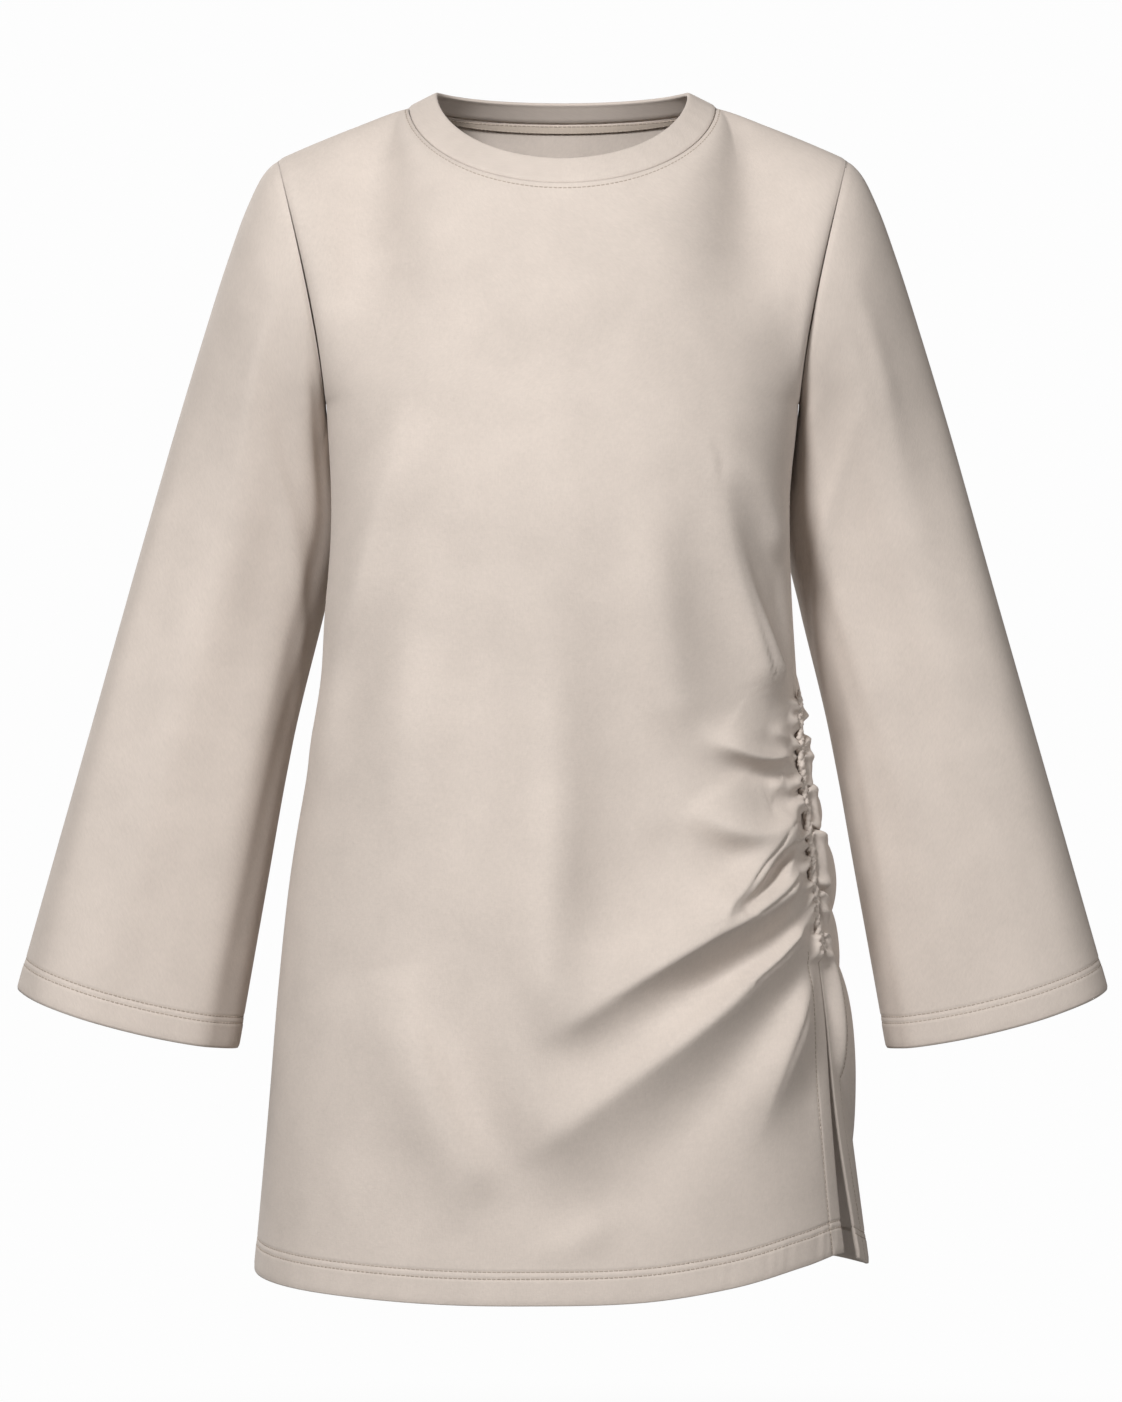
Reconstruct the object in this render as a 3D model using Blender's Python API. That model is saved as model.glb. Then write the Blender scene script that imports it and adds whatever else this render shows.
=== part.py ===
# Long tunic sweatshirt of brushed knit, filled out as when it is worn.
# It has a crew neckband, set-in flared sleeves, and one side seam that elastic
# gathers over the hip, above an open slit. Metres, +Z up, the front towards -Y.
# The origin lies midway between the two points where the shoulder seams meet
# the neckband, and +X is the gathered side.

import math
from collections import namedtuple

import bpy
import numpy as np

CLOTH = 0.0015
HEM_CLOTH = 0.0027
SEAM_GAP = 0.0003
HEM_DEPTH = 0.020

# Heights of the main levels, below the shoulder seam's inner end
UNDERARM = -0.205
SHOULDER_TIP = -0.036
HEM = -0.800
GATHER_TOP = -0.405
GATHER_BOTTOM = -0.583

SHOULDER_HALF = 0.196
NECK_HALF = 0.106
NECK_SHARE = 0.47
ROUNDNESS = 2.3
ARMHOLE_DEPTH = 0.050
SIDE_RADIUS = 0.140

# How far the cloth runs straight on from the shoulder, the neck and the underarm
SHOULDER_RUN = 0.050
NECK_RUN = 0.030
UNDERARM_RUN = 0.055

# Half widths to each side, how much further out the back hangs beside the slit,
# and the depths before and behind the side line
BodyRing = namedtuple("BodyRing", "height plain gathered flare front back")
BODY_RINGS = (
    BodyRing(-0.840, 0.2160, 0.2115, 0.0060, 0.141, 0.135),
    BodyRing(-0.760, 0.2085, 0.2010, 0.0055, 0.138, 0.130),
    BodyRing(-0.680, 0.2015, 0.1930, 0.0035, 0.134, 0.126),
    BodyRing(-0.600, 0.1950, 0.1872, 0.0025, 0.130, 0.121),
    BodyRing(-0.520, 0.1860, 0.1782, 0.0010, 0.126, 0.114),
    BodyRing(-0.450, 0.1735, 0.1652, 0.0000, 0.120, 0.107),
    BodyRing(-0.390, 0.1600, 0.1610, 0.0000, 0.117, 0.101),
    BodyRing(-0.330, 0.1585, 0.1575, 0.0000, 0.121, 0.098),
    BodyRing(-0.270, 0.1590, 0.1565, 0.0000, 0.124, 0.100),
    BodyRing(-0.205, 0.1625, 0.1625, 0.0000, 0.114, 0.104),
    BodyRing(-0.150, 0.1650, 0.1640, 0.0000, 0.106, 0.104),
)

# Where the front and back panels end on the gathered side, in degrees round
# from the centre front. Below the gathers the two edges part into the slit.
SideEdge = namedtuple("SideEdge", "height front back")
SIDE_EDGES = (
    SideEdge(-0.840, 67.5, 79.0),
    SideEdge(-0.770, 67.8, 75.5),
    SideEdge(-0.710, 68.3, 72.0),
    SideEdge(-0.650, 68.6, 69.8),
    SideEdge(-0.583, 66.6, 66.8),
    SideEdge(-0.540, 66.4, 66.6),
    SideEdge(-0.500, 69.2, 69.4),
    SideEdge(-0.450, 74.2, 74.4),
    SideEdge(-0.405, 78.0, 78.2),
    SideEdge(-0.300, 86.0, 86.2),
    SideEdge(-0.205, 89.9, 90.1),
)

# Height of the bottom edge, in degrees round from the centre front
HemPoint = namedtuple("HemPoint", "angle height")
HEM_LINE = (
    HemPoint(-90, -0.798),
    HemPoint(-45, -0.803),
    HemPoint(-8, -0.806),
    HemPoint(12, -0.804),
    HemPoint(30, -0.7965),
    HemPoint(50, -0.786),
    HemPoint(69, -0.782),
    HemPoint(83, -0.793),
    HemPoint(135, -0.800),
    HemPoint(180, -0.803),
    HemPoint(225, -0.801),
    HemPoint(270, -0.798),
)

# Drapes of the front, each along a bent line seen from the front: where it
# starts, where it bends, where it ends, how high it stands, and how far it
# slopes away above and below its crest.
Drape = namedtuple(
    "Drape", "start_x start_z bend_x bend_z end_x end_z height above below"
)
FRONT_DRAPES = (
    Drape(0.112, -0.285, 0.138, -0.350, 0.158, -0.411, 0.0085, 0.020, 0.010),
    Drape(0.160, -0.453, 0.119, -0.455, 0.090, -0.410, 0.0090, 0.014, 0.009),
    Drape(0.162, -0.490, 0.130, -0.506, 0.090, -0.474, 0.0100, 0.016, 0.012),
    Drape(0.163, -0.492, 0.137, -0.515, 0.113, -0.560, 0.0105, 0.015, 0.008),
    Drape(0.166, -0.523, 0.138, -0.568, 0.020, -0.626, 0.0190, 0.034, 0.013),
    Drape(0.170, -0.557, 0.137, -0.612, 0.028, -0.705, 0.0155, 0.028, 0.013),
    Drape(0.174, -0.588, 0.162, -0.650, 0.118, -0.732, 0.0110, 0.026, 0.012),
    Drape(-0.114, -0.230, -0.136, -0.365, -0.168, -0.530, 0.0075, 0.020, 0.017),
    Drape(-0.012, -0.275, -0.014, -0.510, -0.022, -0.750, 0.0105, 0.036, 0.030),
    Drape(0.066, -0.250, 0.074, -0.365, 0.098, -0.450, 0.0085, 0.022, 0.016),
    Drape(0.104, -0.215, 0.136, -0.255, 0.156, -0.320, 0.0050, 0.015, 0.011),
    Drape(-0.112, -0.600, -0.096, -0.705, -0.028, -0.764, 0.0085, 0.030, 0.020),
    Drape(-0.040, -0.745, -0.008, -0.790, 0.054, -0.740, 0.0030, 0.011, 0.010),
    Drape(-0.176, -0.060, -0.155, -0.140, -0.105, -0.220, 0.0028, 0.024, 0.020),
    Drape(0.172, -0.060, 0.145, -0.140, 0.095, -0.210, 0.0028, 0.024, 0.022),
)

# Drapes of the back, along lines given by the distance round from the
# gathered seam and the height
BACK_DRAPES = (
    Drape(0.220, -0.260, 0.230, -0.480, 0.235, -0.740, 0.0070, 0.034, 0.032),
    Drape(0.345, -0.240, 0.365, -0.420, 0.400, -0.640, 0.0055, 0.026, 0.024),
    Drape(0.110, -0.240, 0.115, -0.320, 0.095, -0.410, 0.0045, 0.018, 0.018),
)

# Cloth that billows out of the back between two tucks: the heights of both tucks
# at the gathered seam, how far each drops per distance away from it, how high
# the cloth stands between them and how far round the back it reaches
Billow = namedtuple("Billow", "top foot top_drop foot_drop high reach")
BILLOWS = (
    Billow(-0.406, -0.438, -0.55, -0.30, 0.0030, 0.080),
    Billow(-0.438, -0.468, -0.30, -0.05, 0.0070, 0.120),
    Billow(-0.468, -0.494, -0.05, 0.12, 0.0075, 0.140),
    Billow(-0.494, -0.534, 0.12, 0.34, 0.0085, 0.190),
    Billow(-0.534, -0.562, 0.34, 0.62, 0.0040, 0.170),
    Billow(-0.562, -0.650, 0.62, 1.00, 0.0090, 0.150),
)
BILLOW_START = 0.003
BILLOW_SET_BACK = 0.013
TUCK_SPACE = 0.004

# Sleeve sections: the outer and inner edge seen from the front, how far the
# middle lies behind the side line, and half the depth
SleeveRing = namedtuple("SleeveRing", "along outer_x outer_z inner_x inner_z shift depth")
SLEEVE_RINGS = (
    SleeveRing(0.00, 0.1960, -0.0360, 0.1625, -0.2050, 0.000, 0.0500),
    SleeveRing(0.04, 0.2062, -0.0467, 0.1637, -0.2080, 0.002, 0.0508),
    SleeveRing(0.09, 0.2174, -0.0683, 0.1634, -0.2130, 0.006, 0.0515),
    SleeveRing(0.16, 0.2312, -0.1035, 0.1619, -0.2240, 0.014, 0.0515),
    SleeveRing(0.26, 0.2500, -0.1575, 0.1590, -0.2470, 0.028, 0.0505),
    SleeveRing(0.38, 0.2710, -0.2222, 0.1555, -0.2930, 0.042, 0.0495),
    SleeveRing(0.50, 0.2929, -0.2981, 0.1666, -0.3439, 0.048, 0.0485),
    SleeveRing(0.66, 0.3202, -0.3948, 0.1880, -0.4334, 0.046, 0.0475),
    SleeveRing(0.83, 0.3502, -0.5014, 0.2073, -0.5420, 0.042, 0.0465),
    SleeveRing(1.00, 0.3806, -0.6097, 0.2262, -0.6513, 0.038, 0.0455),
)
CUFF_SAG = 0.005

# Folds along a sleeve: degrees round from its outer edge, through its front
SleeveFold = namedtuple("SleeveFold", "angle spread height start end")
SLEEVE_FOLDS = (
    SleeveFold(78, 26, 0.0045, 0.05, 1.30),
    SleeveFold(135, 17, 0.0045, 0.04, 0.90),
    SleeveFold(205, 20, 0.0030, 0.20, 1.00),
    SleeveFold(252, 22, 0.0045, 0.06, 1.20),
    SleeveFold(310, 20, 0.0035, 0.15, 1.30),
)

# The neckband's seam and its free edge: half width, how far each reaches
# forward and back, and how far it drops at the centre front and centre back
NeckLoop = namedtuple("NeckLoop", "half front back side drop_front drop_back")
NECK_SEAM = NeckLoop(0.106, 0.088, 0.072, 0.0, 0.0630, 0.0060)
NECK_EDGE = NeckLoop(0.087, 0.076, 0.061, 0.0095, 0.0540, 0.0015)
NECK_BEND = 0.16
BAND_CLOTH = 0.0024
TAPE_LEVEL = 0.945

FRONT_GATHERS = 17
BACK_GATHERS = 11
GATHER_HEIGHT = 0.0036
GATHER_WIDTH = 0.0034
GATHER_LENGTH = 0.030
GATHER_RISE = 0.005
GATHER_ROWS = 3
FRONT_RISE_FROM_SEAM = 0.034
BACK_RISE_FROM_SEAM = 0.012
PLAIN_RISE_FROM_SEAM = 0.030
RISE_FROM_HEM = 0.070
WELT_WIDTH = 0.0058
WELT_HEIGHT = 0.0044
WELT_KNOTS = 20
WELT_WEAVE = 0.0007
WELT_CLEAR = 0.0042
SLIT_END_CLEAR = 0.002
TAPE_THICK = 0.0009
BAND_PROUD = 0.0004
CUFF_START = 0.967

COLOUR = (0.62, 0.54, 0.47, 1.0)
TAPE_COLOUR = (0.56, 0.48, 0.41, 1.0)


def smooth(t):
    """Rises softly from 0 to 1 as t does."""
    t = np.clip(t, 0.0, 1.0)
    return t * t * (3.0 - 2.0 * t)


def read(table, key, column, at):
    """A table's column at any place, on a soft curve through its rows."""
    rows = sorted(table, key=lambda row: getattr(row, key))
    x = np.array([getattr(row, key) for row in rows], float)
    y = np.array([getattr(row, column) for row in rows], float)
    slope = np.gradient(y, x)
    at = np.clip(at, x[0], x[-1])
    i = np.clip(np.searchsorted(x, at, side="right") - 1, 0, len(x) - 2)
    step = x[i + 1] - x[i]
    t = (at - x[i]) / step
    start = (1 + 2 * t) * (1 - t) ** 2 * y[i] + t * (1 - t) ** 2 * step * slope[i]
    end = t * t * (3 - 2 * t) * y[i + 1] + t * t * (t - 1) * step * slope[i + 1]
    return start + end


def points(x, y, z):
    return np.stack(np.broadcast_arrays(x, y, z), axis=-1)


def unit(v):
    return v / np.maximum(np.linalg.norm(v, axis=-1, keepdims=True), 1e-12)


def body_point(angle, height):
    """The body's smooth surface, at degrees round from the centre front."""
    turn = np.radians(angle)
    s, c = np.sin(turn), np.cos(turn)
    plain = read(BODY_RINGS, "height", "plain", height)
    gathered = read(BODY_RINGS, "height", "gathered", height)
    front = read(BODY_RINGS, "height", "front", height)
    back = read(BODY_RINGS, "height", "back", height)
    flare = read(BODY_RINGS, "height", "flare", height) * smooth((angle - 68) / 24)
    gathered = gathered + flare * smooth((180 - angle) / 70)
    power = 2.0 / ROUNDNESS
    x = np.where(s > 0, gathered, plain) * np.sign(s) * np.abs(s) ** power
    y = -np.where(c > 0, front, back) * np.sign(c) * np.abs(c) ** power
    return points(x, y, height)


def neck_point(loop, angle):
    """A point of the neckline, at degrees round from the centre front."""
    turn = np.radians(angle)
    s, c = np.sin(turn), np.cos(turn)
    bend = NECK_BEND / 2
    ahead = (c + np.sqrt(c * c + NECK_BEND**2)) / 2 - bend
    behind = (np.sqrt(c * c + NECK_BEND**2) - c) / 2 - bend
    full = (1 + math.sqrt(1 + NECK_BEND**2)) / 2 - bend
    y = np.where(c > 0, -loop.front * c, -loop.back * c)
    z = loop.side - (loop.drop_front * ahead + loop.drop_back * behind) / full
    return points(loop.half * s, y, z)


def armhole(rise, side, depth):
    """The armhole from the underarm, rise 0, to the shoulder tip, rise 1."""
    turn = math.pi * rise
    share = (1 - np.cos(turn)) / 2
    foot = read(BODY_RINGS, "height", "gathered" if side > 0 else "plain", UNDERARM)
    x = foot + (SHOULDER_HALF - foot) * share**1.4
    return points(side * x, depth * np.sin(turn), UNDERARM + (SHOULDER_TIP - UNDERARM) * share)


def top_edge(s, back):
    """The top of a panel, with the way and distance that the cloth arrives.

    s runs from -1 at the plain side's shoulder tip to 1 at the other."""
    way = -1.0 if back else 1.0
    share = np.abs(s)
    turn = np.clip(share / NECK_SHARE, 0, 1) * 90
    at_neck = neck_point(NECK_SEAM, np.where(back, 180 - turn, turn))
    out = np.clip((share - NECK_SHARE) / (1 - NECK_SHARE), 0, 1)
    shoulder = points(
        NECK_HALF + (SHOULDER_HALF - NECK_HALF) * out, 0 * out, SHOULDER_TIP * out**1.15
    )
    top = np.where((share <= NECK_SHARE)[..., None], at_neck, shoulder)
    top = top * points(np.where(s < 0, -1.0, 1.0), 1.0, 1.0)
    over = np.sin(np.radians(turn))[..., None] ** 2
    corner = over * (1 - smooth(out / 0.4))[..., None] * points(-np.sign(s), 0, 0)
    rise_way = np.array([0.0, way * 0.38, 0.92])
    over_way = np.array([0.0, way * 1.0, 0.22])
    arrive = unit(rise_way * (1 - over) + over_way * over + 0.9 * corner)
    return top, arrive * (SHOULDER_RUN * (1 - over) + NECK_RUN * over)


def yoke(s, rise, back):
    """A panel above the underarm: rise 0 there, 1 at the top edge."""

    def column(s):
        angle = 180 - 90 * s if back else 90 * s
        foot = body_point(angle, UNDERARM + 0 * s)
        slope = unit(body_point(angle, UNDERARM + 0.02 + 0 * s) - foot)
        top, arrive = top_edge(s, back)
        r = rise[..., None]
        a, b = foot + slope * UNDERARM_RUN, top - arrive
        return (
            foot * (1 - r) ** 3 + 3 * a * r * (1 - r) ** 2 + 3 * b * r * r * (1 - r) + top * r**3
        )

    depth = ARMHOLE_DEPTH if back else -ARMHOLE_DEPTH
    made = column(s)
    for side in (-1.0, 1.0):
        near = smooth((s * side - 0.45) / 0.55)[..., None] ** 1.5
        edge = column(np.full_like(s, side))
        made = made + near * (armhole(rise, side, depth) - edge)
    return made


def panel_surface(q, level, back):
    """The smooth panel before its folds. q is 0 at one side edge and 1 at the other.

    Levels up to the underarm are heights, and above it they count on to 1 at the top."""
    height = np.minimum(level, UNDERARM)
    rise = np.clip((level - UNDERARM) / (1.0 - UNDERARM), 0, 1)
    gap = math.degrees(SEAM_GAP / 2 / SIDE_RADIUS)
    front_end = read(SIDE_EDGES, "height", "front", height)
    back_end = read(SIDE_EDGES, "height", "back", height)
    if back:
        first, last = back_end + gap, 270 - gap
    else:
        first, last = -90 + gap, front_end - gap
    angle = first + (last - first) * q
    hem = read(HEM_LINE, "angle", "height", angle)
    z = UNDERARM + (hem - UNDERARM) * (UNDERARM - height) / (UNDERARM - HEM)
    skirt = body_point(angle, z)
    s = 1 - 2 * q if back else 2 * q - 1
    above = yoke(s, rise, back)
    return np.where((rise > 0)[..., None], above, skirt), angle


def crest(x, z, drape, pinch):
    """How high a drape stands at each place, before it is faded at its ends."""
    t = np.linspace(0, 1, 25)[:, None]
    start = np.array([drape.start_x, drape.start_z])
    bend = np.array([drape.bend_x, drape.bend_z])
    end = np.array([drape.end_x, drape.end_z])
    line = start * (1 - t) ** 2 + 2 * bend * t * (1 - t) + end * t * t
    here = np.stack([x, z], axis=-1)[..., None, :]
    leg = line[1:] - line[:-1]
    part = ((here - line[:-1]) * leg).sum(-1) / (leg * leg).sum(-1)
    part = np.clip(part, 0, 1)
    off = here - (line[:-1] + part[..., None] * leg)
    far = np.linalg.norm(off, axis=-1)
    turned = leg[:, 0] * off[..., 1] - leg[:, 1] * off[..., 0]
    nearest = far.argmin(-1)[..., None]
    far, part, turned = (
        np.take_along_axis(values, nearest, -1)[..., 0] for values in (far, part, turned)
    )
    along = (part + nearest[..., 0]) / len(leg)
    spread = np.where(turned > 0, drape.below, drape.above)
    narrow = pinch + (1 - pinch) * smooth(along / 0.35)
    return far / (spread * narrow), along


def drapes(x, z, table, pinch):
    """The height of all drapes of a table, at each place. Each starts pinched."""
    total = np.zeros_like(x)
    for drape in table:
        off, along = crest(x, z, drape, pinch)
        fade = (0.35 + 0.65 * smooth(along / 0.22)) * smooth((1 - along) / 0.45)
        total += drape.height * np.exp(-(off**2)) * fade
    return total


def billows(away, z):
    """Round lobes of the back between its tucks, highest a little off the seam."""
    total = np.zeros_like(away)
    for billow in BILLOWS:
        top = billow.top - billow.top_drop * away
        foot = billow.foot - billow.foot_drop * away
        part = np.clip((z - foot) / np.maximum(top - foot, TUCK_SPACE), 0, 1)
        lobe = np.clip(1 - np.abs(2 * part - 1) ** 2.3, 0, 1) ** 0.75
        fade = smooth((away + BILLOW_START) / BILLOW_SET_BACK)
        total += billow.high * lobe * fade * smooth((billow.reach - away) / (0.9 * billow.reach))
    return total


def gathers(away, z, count, lean_top, lean_bottom):
    """Short puckers that fan out from the gathered seam."""
    total = np.zeros_like(away)
    pitch = (GATHER_TOP - GATHER_BOTTOM) / count
    for k in range(count):
        share = (k + 0.5) / count
        uneven = math.sin(2.4 * k + 0.7)
        at = GATHER_TOP - pitch * (k + 0.5 + 0.16 * uneven)
        lean = math.radians(lean_top + (lean_bottom - lean_top) * share)
        long = GATHER_LENGTH * (1 + 0.23 * math.sin(3.9 * k))
        along = away * math.cos(lean) - (z - at) * math.sin(lean)
        across = away * math.sin(lean) + (z - at) * math.cos(lean)
        wide = GATHER_WIDTH * (1 + 0.15 * uneven) * (1 + 0.5 * np.clip(along / long, 0, 1))
        fade = smooth((away - WELT_CLEAR) / GATHER_RISE) * smooth((long - along) / (0.7 * long))
        total += GATHER_HEIGHT * (1 + 0.2 * uneven) * np.exp(-((across / wide) ** 2)) * fade
    return total


def normals(grid):
    """Outward directions of a grid of points, rows first, seen from outside."""
    along_rows = np.gradient(grid, axis=1)
    up = np.gradient(grid, axis=0)
    return unit(np.cross(along_rows, up))


def distance_from(grid, last):
    """How far each point lies along its row from the row's last or first point."""
    steps = np.linalg.norm(np.diff(grid, axis=1), axis=-1)
    if last:
        run = np.cumsum(steps[:, ::-1], axis=1)[:, ::-1]
        return np.concatenate([run, np.zeros((len(grid), 1))], axis=1)
    return np.concatenate([np.zeros((len(grid), 1)), np.cumsum(steps, axis=1)], axis=1)


def panel_layers(q, levels, back):
    """The outer and inner points of a panel, as grids of rows and columns."""
    columns, rows = np.meshgrid(np.array(q, float), np.array(levels, float))
    smooth_grid, angle = panel_surface(columns, rows, back)
    outward = normals(smooth_grid)
    away = distance_from(smooth_grid, last=not back)
    plain_away = distance_from(smooth_grid, last=back)
    x, z = smooth_grid[..., 0], smooth_grid[..., 2]
    if back:
        relief = drapes(away, z, BACK_DRAPES, 0.9) + billows(away, z)
        puckers = gathers(away, z, BACK_GATHERS, -12, 48)
        seam_rise = BACK_RISE_FROM_SEAM
    else:
        relief = drapes(x, z, FRONT_DRAPES, 0.5)
        puckers = gathers(away, z, FRONT_GATHERS, -14, 52)
        seam_rise = FRONT_RISE_FROM_SEAM
    rise = np.clip((rows - UNDERARM) / (1.0 - UNDERARM), 0, 1)
    relief = relief * smooth((away - WELT_CLEAR) / seam_rise) * smooth(plain_away / PLAIN_RISE_FROM_SEAM)
    relief = relief * smooth((1 - rise) / 0.35) * (0.45 + 0.55 * smooth((z - HEM) / RISE_FROM_HEM))
    draped = smooth_grid + outward * relief[..., None]
    facing = normals(draped)
    facing[:, 0], facing[:, -1] = outward[:, 0], outward[:, -1]
    facing[-1] = outward[-1]
    thick = np.where(rows < HEM + HEM_DEPTH + 1e-6, HEM_CLOTH, CLOTH)[..., None]
    outer = draped + facing * puckers[..., None]
    inner = draped - facing * thick
    return outer, hold_seams(outer, inner, rise)


def hold_seams(outer, inner, rise):
    """Keeps the inner edge of each seam on its own side of the seam."""
    inner = inner.copy()
    on_shoulder = np.abs(outer[-1, :, 0]) > NECK_HALF - 1e-6
    inner[-1, on_shoulder, 1] = outer[-1, on_shoulder, 1]
    for column in (0, -1):
        side = np.sign(outer[:, column, 0])
        armhole_row = rise[:, column] > 0
        reach = np.minimum(inner[:, column, 0] * side, outer[:, column, 0] * side)
        inner[armhole_row, column, 0] = (reach * side)[armhole_row]
    return inner


def ladder(left, right, grid, c):
    """Triangles between columns c and c + 1, as (column, row) corners.

    left and right hold the rows that each column uses, with the same ends."""
    made, i, j = [], 0, 0
    while i + 1 < len(left) or j + 1 < len(right):
        here, beside = (c, left[i]), (c + 1, right[j])
        if i + 1 == len(left):
            climb_right = True
        elif j + 1 == len(right):
            climb_right = False
        elif left[i + 1] != right[j + 1]:
            climb_right = right[j + 1] < left[i + 1]
        else:
            rising = np.linalg.norm(grid[left[i], c] - grid[right[j + 1], c + 1])
            falling = np.linalg.norm(grid[left[i + 1], c] - grid[right[j], c + 1])
            climb_right = rising < falling
        if climb_right:
            made.append((here, beside, (c + 1, right[j + 1])))
            j += 1
        else:
            made.append((here, beside, (c, left[i + 1])))
            i += 1
    return made


def wall(name, outer, inner, fine_columns, fine_rows):
    """A closed cloth wall, both faces cut alike. Only fine columns use the fine rows."""
    rows, columns = outer.shape[:2]
    coarse = [r for r in range(rows) if r not in fine_rows]
    rows_of = [list(range(rows)) if c in fine_columns else coarse for c in range(columns)]
    place, verts, faces = {}, [], []
    for layer, grid in enumerate((outer, inner)):
        for c in range(columns):
            for r in rows_of[c]:
                place[layer, c, r] = len(verts)
                verts.append(grid[r, c])
    for c in range(columns - 1):
        for corners in ladder(rows_of[c], rows_of[c + 1], outer, c):
            faces.append([place[(0,) + corner] for corner in corners])
            faces.append([place[(1,) + corner] for corner in reversed(corners)])
    rim = [(c, 0) for c in range(columns)] + [(columns - 1, r) for r in rows_of[-1][1:]]
    rim += [(c, rows - 1) for c in range(columns - 2, -1, -1)]
    rim += [(0, r) for r in reversed(rows_of[0][1:-1])]
    for here, following in zip(rim, rim[1:] + rim[:1]):
        a, b = place[(0,) + here], place[(0,) + following]
        faces.append([b, a, place[(1,) + here], place[(1,) + following]])
    return make_object(name, verts, faces)


def make_object(name, verts, faces):
    mesh = bpy.data.meshes.new(name)
    mesh.from_pydata([tuple(v) for v in verts], [], faces)
    mesh.update()
    mesh.shade_smooth()
    obj = bpy.data.objects.new(name, mesh)
    bpy.context.scene.collection.objects.link(obj)
    return obj


def knit(name, colour):
    """Matt brushed knit of one colour."""
    material = bpy.data.materials.new(name)
    material.use_nodes = True
    shader = material.node_tree.nodes["Principled BSDF"]
    shader.inputs["Base Color"].default_value = colour
    shader.inputs["Roughness"].default_value = 0.9
    shader.inputs["Metallic"].default_value = 0.0
    return material


def spaced(*stretches):
    """Places along one line: each stretch gives its start, end and number of steps."""
    places = [stretches[0][0]]
    for start, end, count in stretches:
        places += [start + (end - start) * (i + 1) / count for i in range(count)]
    return places


def yoke_levels():
    return spaced((UNDERARM, TAPE_LEVEL, 10), (TAPE_LEVEL, 1.0, 1))


def panel_levels(gather_steps, fine):
    """Row levels of a panel, and which of them only the gathered edge uses."""
    low = spaced((HEM, HEM + HEM_DEPTH, 1), (HEM + HEM_DEPTH, GATHER_BOTTOM, 7))
    gathered = spaced((GATHER_BOTTOM, GATHER_TOP, gather_steps * fine))[1:]
    high = spaced((GATHER_TOP, UNDERARM, 7))[1:] + yoke_levels()[1:]
    first = len(low)
    extra = {first + i for i in range(len(gathered)) if (i + 1) % fine}
    return low + gathered + high, extra


def front_columns():
    low, high = (1 - NECK_SHARE) / 2, (1 + NECK_SHARE) / 2
    outer = spaced((0, low, 6), (low, 0.5, 6), (0.5, high, 10), (high, 0.925, 9))
    return outer + [0.943, 0.961, 0.978, 0.9925, 1.0]


def back_columns():
    low, high = (1 - NECK_SHARE) / 2, (1 + NECK_SHARE) / 2
    return [0.0, 0.0088, 0.020, 0.036, 0.055] + spaced((0.080, low, 5), (low, high, 12), (high, 1, 6))


def make_panels(material):
    columns = front_columns()
    levels, extra = panel_levels(FRONT_GATHERS, GATHER_ROWS)
    outer, inner = panel_layers(columns, levels, back=False)
    outer[-1, :, 1] -= 0.5 * SEAM_GAP
    inner[-1, :, 1] -= 0.5 * SEAM_GAP
    last = len(columns)
    front = wall("front_panel", outer, inner, set(range(last - 6, last)), extra)

    outer, inner = panel_layers(back_columns(), levels, back=True)
    outer[-1, :, 1] += 0.5 * SEAM_GAP
    inner[-1, :, 1] += 0.5 * SEAM_GAP
    back = wall("back_panel", outer, inner, set(range(6)), extra)
    for panel in (front, back):
        panel.data.materials.append(material)


def sleeve_turns():
    """Places round a sleeve that meet the rows of both panels at the armhole."""
    rises = [(level - UNDERARM) / (1 - UNDERARM) for level in yoke_levels()]
    ahead = [math.pi * (1 - rise) for rise in reversed(rises)]
    return ahead + [math.pi * (1 + rise) for rise in rises[1:-1]]


def sleeve_layers(side, along):
    """Outer and inner points of a sleeve: rows from armhole to cuff."""
    turn, t = np.meshgrid(np.array(sleeve_turns()), np.array(along))
    outer_x, outer_z, inner_x, inner_z, shift, depth = (
        read(SLEEVE_RINGS, "along", column, t) for column in SleeveRing._fields[1:]
    )
    mid_x, mid_z = (outer_x + inner_x) / 2, (outer_z + inner_z) / 2
    half_x, half_z = (outer_x - inner_x) / 2, (outer_z - inner_z) / 2
    share = (1 + np.cos(turn)) / 2
    curve = (SHOULDER_HALF - SLEEVE_RINGS[0].inner_x) * (share**1.4 - share)
    x = mid_x + half_x * np.cos(turn) + curve * (1 - smooth(t / 0.12))
    y = shift - depth * np.sin(turn)
    z = mid_z + half_z * np.cos(turn)
    sag = CUFF_SAG * np.sin(turn) ** 2 * smooth((t - 0.7) / 0.3)
    grid = points(x + 0.28 * sag + SEAM_GAP, y, z - 0.96 * sag)
    ring = np.roll(grid, -1, axis=1) - np.roll(grid, 1, axis=1)
    down = np.gradient(grid, axis=0)
    facing = unit(np.cross(ring, down))
    relief = np.zeros_like(t)
    degrees = np.degrees(turn)
    for fold in SLEEVE_FOLDS:
        off = (degrees - fold.angle + 180) % 360 - 180
        ends = smooth((t - fold.start) / 0.25) * smooth((fold.end - t) / 0.35)
        relief += fold.height * np.exp(-((off / fold.spread) ** 2)) * ends
    outer = grid + facing * relief[..., None]
    radial = points(0 * turn[0], -np.sin(turn[0]), np.cos(turn[0]))
    facing[0] = radial
    thick = np.where(t > CUFF_START, HEM_CLOTH, CLOTH)[..., None]
    inner = outer - facing * thick
    flip = np.array([side, 1.0, 1.0])
    return outer * flip, inner * flip


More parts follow.
